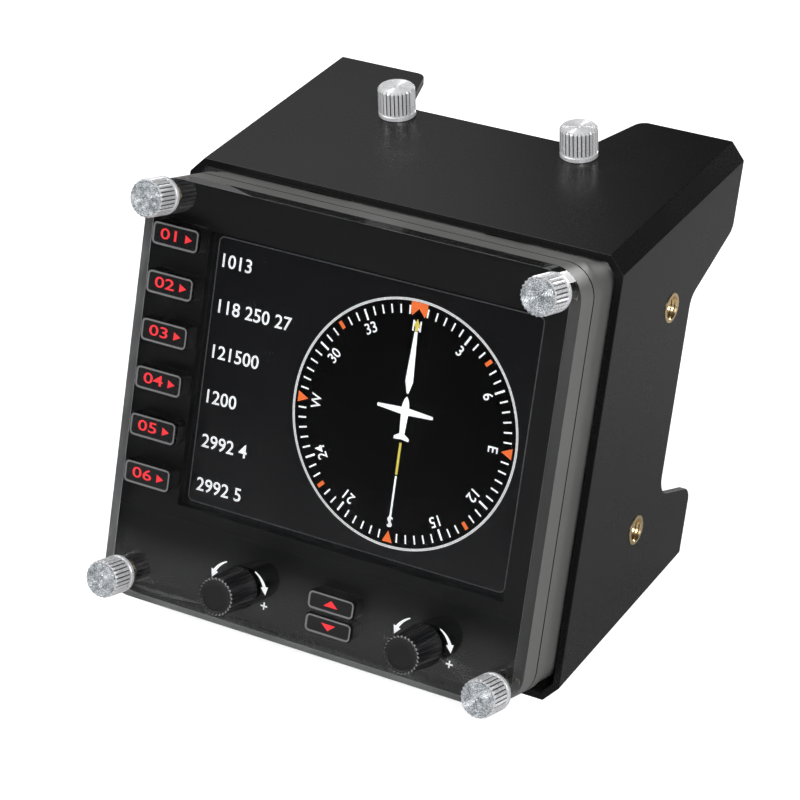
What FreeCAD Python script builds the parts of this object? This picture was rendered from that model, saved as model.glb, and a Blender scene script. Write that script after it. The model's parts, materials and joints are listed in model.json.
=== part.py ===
import FreeCAD, Part
import os
import re

import Sketcher
from FreeCAD import Placement, Rotation, Vector

# Desktop flight display: a leaning instrument panel with a screen page, six soft keys, two page
# keys and two rotary knobs, held in a folded box bracket that stands on a table.
#
# Row frame: +X to the right seen from the front, +Y to the back, +Z up, origin in the middle of
# the bracket's underside. Panel pieces are drawn in the panel's own axes: x right, y up along the
# panel, z out of the panel towards the pilot, z = 0 on the fascia's front face.

document = FreeCAD.newDocument("FlightDisplay")
sheet = document.addObject("Spreadsheet::Sheet", "Sizes")

SIZES = [
    # the screen, and the panel round it
    ("screen_width", 72.0), ("screen_height", 54.3),
    ("left_strip", 14.5), ("right_strip", 6.7), ("top_strip", 10.15), ("bottom_strip", 21.55),
    ("screen_x", "=(left_strip - right_strip) / 2"), ("screen_y", "=(bottom_strip - top_strip) / 2"),
    ("panel_width", "=screen_width + left_strip + right_strip"),
    ("panel_height", "=screen_height + top_strip + bottom_strip"),
    ("tilt", 19.2), ("panel_corner", 6.5), ("plate_thickness", 5.0),
    ("fascia_depth", 8.8), ("fascia_wall", 2.0), ("fascia_front", 1.6),
    ("seam_inset", 0.4), ("corner_block", 8.0), ("hollow_corner", 2.4),
    ("housing_depth", 10.2), ("housing_wall", 2.0), ("housing_back_wall", 2.0), ("housing_floor", 3.8),
    # box bracket
    ("bracket_wall", 1.5), ("housing_gap", 0.9), ("deck_gap", 0.27),
    ("bracket_width", "=panel_width - 2 * seam_inset + 2 * housing_gap + 2 * bracket_wall"),
    ("bracket_height", "=2 * ((panel_height / 2 - seam_inset) * cos(tilt * 1deg) + bracket_wall + deck_gap)"),
    ("bracket_length", 53.5), ("bracket_chamfer", 3.1), ("bracket_setback", 12.6),
    ("bracket_floor_gap", 0.4),
    ("deck_notch_mouth", 50.4), ("deck_notch_floor", 41.0), ("deck_notch_depth", 15.5),
    ("side_notch_depth", 16.8), ("side_notch_drop", 16.4), ("side_notch_inner_drop", 22.6),
    ("side_notch_top", "=bracket_height - side_notch_drop"),
    ("side_notch_inner_top", "=bracket_height - side_notch_inner_drop"),
    ("side_notch_inner_bottom", 22.8), ("side_notch_bottom", 16.2),
    ("notch_inner_round", 4.0), ("notch_outer_round", 2.5), ("side_inner_round", 4.0),
    ("side_outer_round", 3.0), ("lug_width", 9.0), ("lug_thickness", 2.0), ("lug_reach", 3.5),
    # threaded inserts and stacking holes
    ("side_insert_gap", 9.7), ("side_insert_setback", "=bracket_length - side_notch_depth - side_insert_gap"),
    ("side_insert_spacing", 43.0), ("stack_gap", 3.7),
    ("stack_setback", "=bracket_length - deck_notch_depth - stack_gap"),
    ("stack_spacing", 41.8), ("insert_bore", 4.1), ("insert_outer", 5.2), ("insert_length", 6.0),
    ("boss_wall", 1.5), ("stack_clearance_hole", 4.5),
    ("plate_insert_bore", 3.1), ("plate_insert_outer", 4.2), ("plate_insert_length", 5.6),
    # thumbscrews
    ("thumb_inset_x", 3.6), ("thumb_inset_y", 4.0), ("thumb_x", "=panel_width / 2 - thumb_inset_x"),
    ("thumb_y", "=panel_height / 2 - thumb_inset_y"), ("thumb_head", 7.7), ("thumb_head_height", 5.3),
    ("thumb_groove", 0.3), ("thumb_grooves", 26), ("washer_outer", 7.7), ("washer_thickness", 1.0),
    ("shank_clearance", 0.05), ("plate_shank_length", 11.1), ("stack_shank_length", 8.1),
    ("plate_hole", 3.6),
    # screen layers
    ("window_margin", 0.9), ("module_margin_x", 1.6), ("module_margin_y", 2.85),
    ("module_width", "=screen_width + 2 * module_margin_x"),
    ("module_height", "=screen_height + 2 * module_margin_y"),
    ("gasket_thickness", 0.4), ("glass_thickness", 1.8), ("backlight_thickness", 2.8),
    # circuit board behind the screen
    ("board_front", 8.0), ("board_thickness", 1.6), ("board_gap", 0.8), ("board_corner", 5.0),
    ("board_width", "=panel_width - 2 * fascia_wall - 2 * board_gap"),
    ("board_top", "=panel_height / 2 - fascia_wall - board_gap"),
    ("board_bottom", "=panel_height / 2 - housing_floor - board_gap"),
    ("ribbon_width", 18.0), ("ribbon_thickness", 0.3), ("ribbon_bend", 1.1), ("ribbon_slot", 2.0),
    ("connector_height", 2.6), ("connector_depth", 3.2), ("connector_inset", 2.85),
    ("connector_top", "=screen_y + module_height / 2 - connector_inset"), ("connector_margin", 1.0),
    # keys
    ("soft_key_inset", 7.75), ("soft_key_x", "=soft_key_inset - panel_width / 2"),
    ("soft_key_drop", 1.25), ("soft_key_top", "=screen_y + screen_height / 2 - soft_key_drop"),
    ("soft_key_pitch", 9.77), ("soft_key_count", 6), ("soft_key_width", 10.6), ("soft_key_height", 4.5),
    ("page_key_x", 6.25), ("page_key_inset", 11.2), ("page_key_pitch", 4.7),
    ("page_key_up_y", "=page_key_inset - panel_height / 2"),
    ("page_key_down_y", "=page_key_up_y - page_key_pitch"),
    ("page_key_width", 10.2), ("page_key_height", 3.6),
    ("key_corner", 0.6), ("key_proud", 0.6), ("key_edge", 0.3), ("key_gap", 0.2), ("key_foot", 0.7),
    ("key_stem_width", 6.0), ("key_stem_height", 2.4), ("key_tip", 1.9), ("key_tip_depth", 5.4),
    ("key_travel", 0.5),
    ("switch_width", 6.0), ("switch_height", 3.9), ("switch_front", 4.6), ("switch_well_depth", 6.3),
    ("led_size", 1.6), ("led_height", 0.8), ("led_offset", 4.1),
    # rotary knobs and encoders
    ("knob_x_offset", 20.9), ("knob_inset", 8.9), ("knob_y", "=knob_inset - panel_height / 2"),
    ("knob_front", 7.6), ("knob_base", 8.6), ("knob_height", 9.0), ("knob_gap", 0.4),
    ("knob_wall", 1.8), ("knob_groove", 0.25), ("knob_grooves", 28), ("shaft_bore", 6.0),
    ("shaft_clearance", 0.05), ("shaft_hole", 6.8), ("shaft_reach", 7.0), ("shaft_foot", 6.6),
    ("shaft_end_gap", 0.6), ("encoder_size", 8.6), ("encoder_front", 2.2),
    # screws that close the housing and hold it to the bracket's lugs
    ("post_top_x", 20.0), ("post_inset", 2.0), ("post_low_inset_x", 10.0), ("post_low_inset_y", 2.7),
    ("post_top_y", "=board_top - post_inset"), ("post_low_x", "=panel_width / 2 - post_low_inset_x"),
    ("post_low_y", "=post_low_inset_y - board_bottom"),
    ("post_outer", 4.2), ("case_screw", 2.4), ("case_hole", 2.5), ("case_clear_hole", 2.8),
    ("case_head", 4.4), ("case_head_height", 1.5), ("case_screw_end", 4.0),
    # mini socket for the data lead
    ("socket_x", -24.0), ("socket_y", -8.0), ("socket_width", 7.7), ("socket_height", 4.0),
    ("socket_wall", 0.35), ("socket_depth", 7.0), ("tongue_thickness", 1.1), ("tongue_length", 5.6),
    ("socket_clearance", 0.25),
    # chips and pads
    ("chip_size", 14.0), ("chip_thickness", 1.4), ("chip_x", 16.0), ("chip_y", -4.0),
    ("chip_small", 8.0), ("pad_size", 6.0), ("pad_inset", 6.0),
]
for row_number, (alias, size) in enumerate(SIZES, start=1):
    sheet.set("A%d" % row_number, alias)
    sheet.set("B%d" % row_number, str(size))
    sheet.setAlias("B%d" % row_number, alias)
document.recompute()
ALIASES = {alias for alias, size in SIZES}

# Planes across the panel's depth, as expressions of the sizes (z is towards the pilot).
FASCIA_BACK = "-fascia_depth"
HOUSING_BACK = "-fascia_depth - housing_depth"
LUG_BACK = "-fascia_depth - housing_depth - lug_thickness"
GLASS_FRONT = "-fascia_front - gasket_thickness"
BACKLIGHT_FRONT = "-fascia_front - gasket_thickness - glass_thickness"
BACKLIGHT_BACK = "-fascia_front - gasket_thickness - glass_thickness - backlight_thickness"
BOARD_BACK = "-board_front - board_thickness"
HEAD_SEAT = "plate_thickness + washer_thickness"
PANEL_Y = ("bracket_height / 2 * tan(tilt * 1deg) - bracket_length / 2"
           " - bracket_setback * cos(tilt * 1deg)")
PANEL_Z = "bracket_height / 2 + bracket_setback * sin(tilt * 1deg)"

parts = []


def formula(text):
    """Write an expression of the sizes the way the document reads it."""
    return re.sub(r"[a-z_]\w*",
                  lambda word: ("Sizes." if word.group() in ALIASES else "") + word.group(), text)


def number(text):
    """The present value of an expression of the sizes."""
    result = sheet.evalExpression(formula(text))
    return float(getattr(result, "Value", result))


def bind(thing, prop, text):
    thing.setExpression(prop, formula(text))


def place(thing, x="0", y="0", z="0"):
    for axis, text in zip("xyz", (x, y, z)):
        bind(thing, "Placement.Base." + axis, text)


def panel_part(name, x="0", y="0"):
    """A body drawn in the panel's axes, leant back with it, its origin at x, y on the fascia."""
    body = row_part(name)
    body.Placement = Placement(Vector(), Rotation(Vector(1, 0, 0), 90 - number("tilt")))
    place(body, x, PANEL_Y + " + (%s) * sin(tilt * 1deg)" % y, PANEL_Z + " + (%s) * cos(tilt * 1deg)" % y)
    bind(body, "Placement.Rotation.Angle", "90deg - tilt * 1deg")
    return body


def row_part(name):
    """A body drawn in the row's own axes."""
    body = document.addObject("PartDesign::Body", name)
    body.Label = name
    parts.append(body)
    return body


def sketch_on(body, plane, lift="0", x="0", y="0"):
    """A sketch on one of the body's origin planes, shifted within it and lifted off it."""
    drawing = body.newObject("Sketcher::SketchObject", "Sketch")
    support = [item for item in body.Origin.OriginFeatures if item.Role == plane + "_Plane"][0]
    drawing.AttachmentSupport = (support, [""])
    drawing.MapMode = "FlatFace"
    for axis, text in zip("xyz", (x, y, lift)):
        bind(drawing, "AttachmentOffset.Base." + axis, text)
    return drawing


def hold(drawing, kind, geometry, point, text):
    """Hold one point of a sketch at a distance from the sketch's origin."""
    distance = number(text)
    if abs(distance) < 1e-9:
        axis = -2 if kind == "DistanceX" else -1
        drawing.addConstraint(Sketcher.Constraint("PointOnObject", geometry, point, axis))
        return
    ends = (-1, 1, geometry, point) if distance > 0 else (geometry, point, -1, 1)
    index = drawing.addConstraint(Sketcher.Constraint(kind, *ends, abs(distance)))
    bind(drawing, "Constraints[%d]" % index, text if distance > 0 else "-(" + text + ")")


def circle(drawing, x, y, diameter):
    centre = Vector(number(x), number(y), 0)
    index = drawing.addGeometry(Part.Circle(centre, Vector(0, 0, 1), number(diameter) / 2), False)
    hold(drawing, "DistanceX", index, 3, x)
    hold(drawing, "DistanceY", index, 3, y)
    size = drawing.addConstraint(Sketcher.Constraint("Diameter", index, number(diameter)))
    bind(drawing, "Constraints[%d]" % size, diameter)


def polygon(drawing, corners):
    """A closed outline of straight lines, each corner held at its own two expressions."""
    points = [Vector(number(x), number(y), 0) for x, y in corners]
    first = drawing.GeometryCount
    count = len(points)
    for index in range(count):
        drawing.addGeometry(Part.LineSegment(points[index], points[(index + 1) % count]), False)
    for index in range(count):
        following = first + (index + 1) % count
        drawing.addConstraint(Sketcher.Constraint("Coincident", first + index, 2, following, 1))
    for index, (x, y) in enumerate(corners):
        hold(drawing, "DistanceX", first + index, 1, x)
        hold(drawing, "DistanceY", first + index, 1, y)


def rectangle(drawing, x, y, width, height):
    """A rectangle about the point x, y."""
    left, right = ["(%s) %s (%s) / 2" % (x, sign, width) for sign in "-+"]
    low, high = ["(%s) %s (%s) / 2" % (y, sign, height) for sign in "-+"]
    polygon(drawing, [(left, low), (right, low), (right, high), (left, high)])


def cut_rectangle(drawing, x, y, width, height, corner):
    """A rectangle about the point x, y with its four corners cut off at 45 degrees."""
    left, right = ["(%s) %s (%s) / 2" % (x, sign, width) for sign in "-+"]
    low, high = ["(%s) %s (%s) / 2" % (y, sign, height) for sign in "-+"]
    more, less = " + (%s)" % corner, " - (%s)" % corner
    polygon(drawing, [(left + more, low), (right + less, low), (right, low + more), (right, high + less),
                      (right + less, high), (left + more, high), (left, high + less), (left, low + more)])


def hexagon(drawing, x, y, across):
    """A hexagon about the point x, y, given by its width across flats."""
    tip, side, flat = "(%s) / sqrt(3)" % across, "(%s) / sqrt(12)" % across, "(%s) / 2" % across
    polygon(drawing, [("(%s) + %s" % (x, tip), y), ("(%s) + %s" % (x, side), "(%s) + %s" % (y, flat)),
                      ("(%s) - %s" % (x, side), "(%s) + %s" % (y, flat)), ("(%s) - %s" % (x, tip), y),
                      ("(%s) - %s" % (x, side), "(%s) - %s" % (y, flat)),
                      ("(%s) + %s" % (x, side), "(%s) - %s" % (y, flat))])


def toothed_outline(drawing, outer, depth, count):
    """Teeth all round the drawing's origin: tips on the outer diameter, roots below them."""
    tip, root = "(%s) / 2" % outer, "((%s) / 2 - %s)" % (outer, depth)
    corners = []
    for step in range(2 * round(number(count))):
        angle = "(%d * 180deg / %s)" % (step, count)
        reach = root if step % 2 else tip
        corners.append(("%s * cos%s" % (reach, angle), "%s * sin%s" % (reach, angle)))
    polygon(drawing, corners)


def pad(body, drawing, length, backwards=False, both_ways=False):
    feature = body.newObject("PartDesign::Pad", "Pad")
    feature.Profile = drawing
    bind(feature, "Length", length)
    feature.Reversed = backwards
    feature.Midplane = both_ways
    document.recompute()
    return feature


def pocket(body, drawing, length, backwards=False, both_ways=False):
    """Cut a sketch into the body; the cut has to take material away."""
    before = body.Shape.Volume
    feature = body.newObject("PartDesign::Pocket", "Pocket")
    feature.Profile = drawing
    bind(feature, "Length", length)
    feature.Reversed = backwards
    feature.Midplane = both_ways
    document.recompute()
    if body.Shape.Volume > before - 1e-6:
        raise RuntimeError("a pocket in %s cuts nothing" % body.Label)
    return feature


def edges_where(feature, test):
    """Names of the straight edges of a feature whose middle and direction pass a test."""
    names = []
    for index, edge in enumerate(feature.Shape.Edges, start=1):
        if isinstance(edge.Curve, Part.Line) and test(edge.CenterOfMass, edge.tangentAt(edge.FirstParameter)):
            names.append("Edge%d" % index)
    if not names:
        raise RuntimeError("no edge found on %s" % feature.Label)
    return names


def soften(body, kind, feature, names, size):
    """Round ("Fillet") or cut ("Chamfer") edges of a body."""
    finish = body.newObject("PartDesign::" + kind, kind)
    finish.Base = (feature, names)
    bind(finish, "Radius" if kind == "Fillet" else "Size", size)
    document.recompute()
    return finish


def along_z(middle, direction):
    return abs(direction.z) > 0.999


def rounded_plate(body, x, y, width, height, corner, low, thickness):
    """A flat plate with four round corners, from low to low + thickness."""
    drawing = sketch_on(body, "XY", low)
    rectangle(drawing, x, y, width, height)
    slab = pad(body, drawing, thickness)
    return soften(body, "Fillet", slab, edges_where(slab, along_z), corner)


def block(body, x, y, low, width, height, depth, cut=False):
    """A block about x, y that starts at low; cut takes it away instead."""
    kind = "PartDesign::SubtractiveBox" if cut else "PartDesign::AdditiveBox"
    shape = body.newObject(kind, "Block")
    bind(shape, "Length", width)
    bind(shape, "Width", height)
    bind(shape, "Height", depth)
    place(shape, "(%s) - (%s) / 2" % (x, width), "(%s) - (%s) / 2" % (y, height), low)
    document.recompute()
    return shape


def rod(body, x, y, low, diameter, length, cut=False):
    """A round rod that starts at x, y, low and runs along z; cut takes it away."""
    kind = "PartDesign::SubtractiveCylinder" if cut else "PartDesign::AdditiveCylinder"
    shape = body.newObject(kind, "Rod")
    bind(shape, "Radius", "(%s) / 2" % diameter)
    bind(shape, "Height", length)
    place(shape, x, y, low)
    document.recompute()
    return shape


CORNERS = [(side, level) for level in (1, -1) for side in (-1, 1)]
SOFT_KEYS = ["soft_key_top - %d * soft_key_pitch" % index for index in range(int(number("soft_key_count")))]
PAGE_KEYS = {"page_key_up": "page_key_up_y", "page_key_down": "page_key_down_y"}
KNOBS = {"left": "page_key_x - knob_x_offset", "right": "page_key_x + knob_x_offset"}
KEYS = [("soft_key_%d" % (index + 1), "soft_key_x", y, "soft_key_width", "soft_key_height")
        for index, y in enumerate(SOFT_KEYS)]
KEYS += [(name, "page_key_x", y, "page_key_width", "page_key_height") for name, y in PAGE_KEYS.items()]
POSTS = [("-post_top_x", "post_top_y"), ("post_top_x", "post_top_y"),
         ("-post_low_x", "post_low_y"), ("post_low_x", "post_low_y")]
THUMBS = [("%d * thumb_x" % side, "%d * thumb_y" % level) for side, level in CORNERS]


def make_front_plate():
    """Clear plate over the whole face, open at the keys, the shafts and the thumbscrews."""
    body = panel_part("front_plate")
    rounded_plate(body, "0", "0", "panel_width", "panel_height", "panel_corner", "0", "plate_thickness")
    holes = sketch_on(body, "XY")
    for x, y in THUMBS:
        circle(holes, x, y, "plate_hole")
    for x in KNOBS.values():
        circle(holes, x, "knob_y", "shaft_hole")
    for name, x, y, width, height in KEYS:
        cut_rectangle(holes, x, y, width + " + 2 * key_gap", height + " + 2 * key_gap", "key_corner")
    pocket(body, holes, "plate_thickness", backwards=True)


def make_fascia():
    """Moulded front shell: window, key and shaft openings, solid corners and screw posts."""
    body = panel_part("fascia")
    rounded_plate(body, "0", "0", "panel_width", "panel_height", "panel_corner", FASCIA_BACK, "fascia_depth")
    width, height = "panel_width - 2 * fascia_wall", "panel_height - 2 * fascia_wall"
    hollow = sketch_on(body, "XY", "-plate_insert_length")
    cut_rectangle(hollow, "0", "0", width, height, "hollow_corner")
    pocket(body, hollow, "fascia_depth")
    floor = sketch_on(body, "XY", "-fascia_front")
    cut_rectangle(floor, "0", "0", width, height, "corner_block")
    pocket(body, floor, "plate_insert_length - fascia_front")
    for x, y in POSTS:
        block(body, x, y, "-board_front", "post_outer", "post_outer", "board_front - fascia_front")
    pilots = sketch_on(body, "XY", "-fascia_front")
    for x, y in POSTS:
        hexagon(pilots, x, y, "case_hole")
    pocket(body, pilots, "board_front - fascia_front")
    inserts = sketch_on(body, "XY")
    for x, y in THUMBS:
        hexagon(inserts, x, y, "plate_insert_outer")
    pocket(body, inserts, "plate_insert_length")
    openings = sketch_on(body, "XY")
    rectangle(openings, "screen_x", "screen_y", "screen_width + 2 * window_margin",
              "screen_height + 2 * window_margin")
    for x in KNOBS.values():
        circle(openings, x, "knob_y", "shaft_hole")
    for name, x, y, width, height in KEYS:
        rectangle(openings, x, y, "key_stem_width + 2 * key_gap", "key_stem_height + 2 * key_gap")
    pocket(body, openings, "fascia_front")


def make_rear_housing():
    """Rear shell with a levelled underside, screw posts and the opening for the data socket."""
    body = panel_part("rear_housing")
    width, height = "(panel_width - 2 * seam_inset)", "(panel_height - 2 * seam_inset)"
    rounded_plate(body, "0", "0", width, height, "panel_corner - seam_inset", HOUSING_BACK, "housing_depth")
    hollow = sketch_on(body, "XY", FASCIA_BACK)
    cut_rectangle(hollow, "0", "(housing_floor - housing_wall) / 2", width + " - 2 * housing_wall",
                  height + " - housing_wall - housing_floor", "hollow_corner")
    pocket(body, hollow, "housing_depth - housing_back_wall")
    level = ("(bracket_wall + bracket_floor_gap - (%s) - (%%s) * sin(tilt * 1deg)) / cos(tilt * 1deg)"
             % PANEL_Z)
    front, back = FASCIA_BACK + " + 1", HOUSING_BACK + " - 1"
    underside = sketch_on(body, "YZ")
    polygon(underside, [(level % front, front), (level % back, back), ("-panel_height", back),
                        ("-panel_height", front)])
    pocket(body, underside, "2 * panel_width", both_ways=True)
    post_length = "fascia_depth + housing_depth - board_front - board_thickness"
    for x, y in POSTS:
        block(body, x, y, HOUSING_BACK, "post_outer", "post_outer", post_length)
    screw_holes = sketch_on(body, "XY", HOUSING_BACK)
    for x, y in POSTS:
        rectangle(screw_holes, x, y, "case_clear_hole", "case_clear_hole")
    pocket(body, screw_holes, post_length, backwards=True)
    opening = sketch_on(body, "XY", HOUSING_BACK)
    rectangle(opening, "socket_x", "socket_y", "socket_width + 2 * socket_clearance",
              "socket_height + 2 * socket_clearance")
    pocket(body, opening, "housing_back_wall", backwards=True)


LEAN = "tan(tilt * 1deg)"
FRONT_AT = "(-bracket_length / 2 + (%s) * " + LEAN + ")"
REAR_AT = "(bracket_length / 2 + (%s) * " + LEAN + ")"
SIDE_INSERTS = [(FRONT_AT % level + " + side_insert_setback", level)
                for level in ("bracket_height / 2 + side_insert_spacing / 2",
                              "bracket_height / 2 - side_insert_spacing / 2")]
STACK_TOP_Y = FRONT_AT % "bracket_height" + " + stack_setback"
STACK_LOW_Y = FRONT_AT % "0" + " + stack_setback"
STACK_X = {"left": "-stack_spacing / 2", "right": "stack_spacing / 2"}
BOSS = "insert_outer + 2 * boss_wall"


def tilted_sketch(body, depth):
    """A sketch parallel to the panel at a depth behind its face, in a body of the row's axes."""
    drawing = sketch_on(body, "XY")
    drawing.AttachmentOffset = Placement(Vector(), Rotation(Vector(1, 0, 0), 90 - number("tilt")))
    bind(drawing, "AttachmentOffset.Base.x", "0")
    bind(drawing, "AttachmentOffset.Base.y", PANEL_Y + " - (%s) * cos(tilt * 1deg)" % depth)
    bind(drawing, "AttachmentOffset.Base.z", PANEL_Z + " + (%s) * sin(tilt * 1deg)" % depth)
    bind(drawing, "AttachmentOffset.Rotation.Angle", "90deg - tilt * 1deg")
    return drawing


def deck_notch(body, level, upwards):
    """Cut the tapered notch into the rear edge of the top or the bottom plate."""
    rear = REAR_AT % level
    floor = rear + " - deck_notch_depth"
    beyond = rear + " + 2 * bracket_wall"
    flare = "(deck_notch_mouth - deck_notch_floor) / 2 * 2 * bracket_wall / deck_notch_depth"
    drawing = sketch_on(body, "XY", level)
    polygon(drawing, [("-deck_notch_floor / 2", floor), ("deck_notch_floor / 2", floor),
                      ("deck_notch_mouth / 2 + " + flare, beyond),
                      ("-deck_notch_mouth / 2 - " + flare, beyond)])
    cut = pocket(body, drawing, "1.5 * bracket_wall", backwards=upwards)
    floor_y, end_y, height = number(floor), number(rear), number(level)
    inner = edges_where(cut, lambda middle, direction: along_z(middle, direction)
                        and abs(middle.y - floor_y) < 1e-6)
    cut = soften(body, "Fillet", cut, inner, "notch_inner_round")
    outer = edges_where(cut, lambda middle, direction: abs(middle.y - end_y) < number("bracket_wall")
                        and abs(middle.z - height) < number("bracket_wall") and abs(direction.z) > 0.9)
    soften(body, "Fillet", cut, outer, "notch_outer_round")


def lug(drawing, x, y):
    """Outline of a lug from the deck or the floor to a case screw, slotted from its free end."""
    up = number(y) > 0
    wall = "bracket_height - bracket_wall / 2" if up else "bracket_wall / 2"
    root = ("((%s) - (%s) - (%s + lug_thickness / 2) * sin(tilt * 1deg)) / cos(tilt * 1deg)"
            % (wall, PANEL_Z, LUG_BACK))
    end = y + (" - lug_reach" if up else " + lug_reach")
    seat = y + (" + " if up else " - ") + "case_clear_hole / 2"
    left, right = x + " - lug_width / 2", x + " + lug_width / 2"
    near, far = x + " - case_clear_hole / 2", x + " + case_clear_hole / 2"
    polygon(drawing, [(left, root), (right, root), (right, end), (far, end), (far, seat), (near, seat),
                      (near, end), (left, end)])


def make_bracket():
    """Box bracket: four walls with cut corners, open front and back, notched rear edges."""
    body = row_part("bracket")
    side = sketch_on(body, "YZ")
    polygon(side, [(FRONT_AT % "0", "0"), (REAR_AT % "0", "0"),
                   (REAR_AT % "bracket_height", "bracket_height"),
                   (FRONT_AT % "bracket_height", "bracket_height")])
    prism = pad(body, side, "bracket_width", both_ways=True)
    long_edges = edges_where(prism, lambda middle, direction: abs(direction.y) > 0.999)
    bevelled = soften(body, "Chamfer", prism, long_edges, "bracket_chamfer")
    ends = ["Face%d" % index for index, face in enumerate(bevelled.Shape.Faces, start=1)
            if abs(face.normalAt(0, 0).y) > 0.8]
    walls = body.newObject("PartDesign::Thickness", "Walls")
    walls.Base = (bevelled, ends)
    bind(walls, "Value", "bracket_wall")
    walls.Join = 1
    walls.Reversed = True
    document.recompute()
    for level, upwards in (("bracket_height", False), ("0", True)):
        deck_notch(body, level, upwards)
    notch = sketch_on(body, "YZ")
    inner_at = REAR_AT + " - side_notch_depth"
    beyond = REAR_AT + " + bracket_wall * 4"
    polygon(notch, [(beyond % "side_notch_top", "side_notch_top"),
                    (REAR_AT % "side_notch_top", "side_notch_top"),
                    (inner_at % "side_notch_inner_top", "side_notch_inner_top"),
                    (inner_at % "side_notch_inner_bottom", "side_notch_inner_bottom"),
                    (REAR_AT % "side_notch_bottom", "side_notch_bottom"),
                    (beyond % "side_notch_bottom", "side_notch_bottom")])
    cut = pocket(body, notch, "2 * bracket_width", both_ways=True)

    def across_at(levels):
        heights = [number(level) for level in levels]
        return lambda middle, direction: (abs(direction.x) > 0.999
                                          and min(abs(middle.z - height) for height in heights) < 1e-4)
    inner = edges_where(cut, across_at(["side_notch_inner_top", "side_notch_inner_bottom"]))
    cut = soften(body, "Fillet", cut, inner, "side_inner_round")
    outer = edges_where(cut, across_at(["side_notch_top", "side_notch_bottom"]))
    soften(body, "Fillet", cut, outer, "side_outer_round")
    for y, z in SIDE_INSERTS:
        for side in (-1, 1):
            block(body, "%d * (bracket_width / 2 - insert_length / 2 - bracket_wall / 4)" % side, y,
                  "(%s) - (%s) / 2" % (z, BOSS), "insert_length - bracket_wall / 2", BOSS, BOSS)
    for x in STACK_X.values():
        block(body, x, STACK_TOP_Y, "bracket_height - insert_length", BOSS, "insert_outer + boss_wall",
              "insert_length - bracket_wall / 2")
    lugs = tilted_sketch(body, HOUSING_BACK)
    for x, y in POSTS:
        lug(lugs, x, y)
    pad(body, lugs, "lug_thickness", backwards=True)
    for side, inwards in (("-", True), ("", False)):
        side_holes = sketch_on(body, "YZ", side + "bracket_width / 2")
        for y, z in SIDE_INSERTS:
            hexagon(side_holes, y, z, "insert_outer")
        pocket(body, side_holes, "insert_length", backwards=inwards)
    deck_holes = sketch_on(body, "XY", "bracket_height")
    for x in STACK_X.values():
        hexagon(deck_holes, x, STACK_TOP_Y, "insert_outer")
    pocket(body, deck_holes, "insert_length")
    floor_holes = sketch_on(body, "XY")
    for x in STACK_X.values():
        circle(floor_holes, x, STACK_LOW_Y, "stack_clearance_hole")
    pocket(body, floor_holes, "bracket_wall", backwards=True)


def insert(body, x, y, low, outer, bore, length, plane="XY"):
    """A threaded insert about x, y of a plane: hexagonal outside, round inside."""
    drawing = sketch_on(body, plane, low)
    hexagon(drawing, x, y, outer)
    circle(drawing, x, y, bore)
    return pad(body, drawing, length)


def ring_solid(body, low, outer, bore, length):
    """A plain ring round the body's own axis."""
    drawing = sketch_on(body, "XY", low)
    circle(drawing, "0", "0", outer)
    circle(drawing, "0", "0", bore)
    return pad(body, drawing, length)


def make_inserts():
    """Brass threaded inserts: behind the plate's corners, in the deck and in both side walls."""
    body = panel_part("plate_inserts")
    for x, y in THUMBS:
        insert(body, x, y, "-plate_insert_length", "plate_insert_outer", "plate_insert_bore",
               "plate_insert_length")
    body = row_part("stack_inserts")
    for x in STACK_X.values():
        insert(body, x, STACK_TOP_Y, "bracket_height - insert_length", "insert_outer", "insert_bore",
               "insert_length")
    body = row_part("side_inserts")
    for start in ("-bracket_width / 2", "bracket_width / 2 - insert_length"):
        for y, z in SIDE_INSERTS:
            insert(body, y, z, start, "insert_outer", "insert_bore", "insert_length", plane="YZ")


def make_screen():
    """The screen's layers: gasket, glass, backlight and the foam pads behind them."""
    body = panel_part("window_gasket")
    frame = sketch_on(body, "XY", GLASS_FRONT)
    rectangle(frame, "screen_x", "screen_y", "module_width", "module_height")
    rectangle(frame, "screen_x", "screen_y", "screen_width + 2 * window_margin",
              "screen_height + 2 * window_margin")
    pad(body, frame, "gasket_thickness")
    body = panel_part("screen_glass")
    block(body, "screen_x", "screen_y", BACKLIGHT_FRONT, "module_width", "module_height", "glass_thickness")
    body = panel_part("backlight")
    block(body, "screen_x", "screen_y", BACKLIGHT_BACK, "module_width", "module_height",
          "backlight_thickness")
    body = panel_part("screen_pads")
    for side, level in CORNERS:
        block(body, "screen_x + %d * (module_width / 2 - pad_inset)" % side,
              "screen_y + %d * (module_height / 2 - pad_inset)" % level, "-board_front",
              "pad_size", "pad_size", "board_front + (%s)" % BACKLIGHT_BACK)


RIBBON_Y = "(screen_y + module_height / 2 + 2 * ribbon_bend - ribbon_thickness)"
CONNECTOR_Z = "(-board_front - board_thickness - connector_height / 2)"


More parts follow.
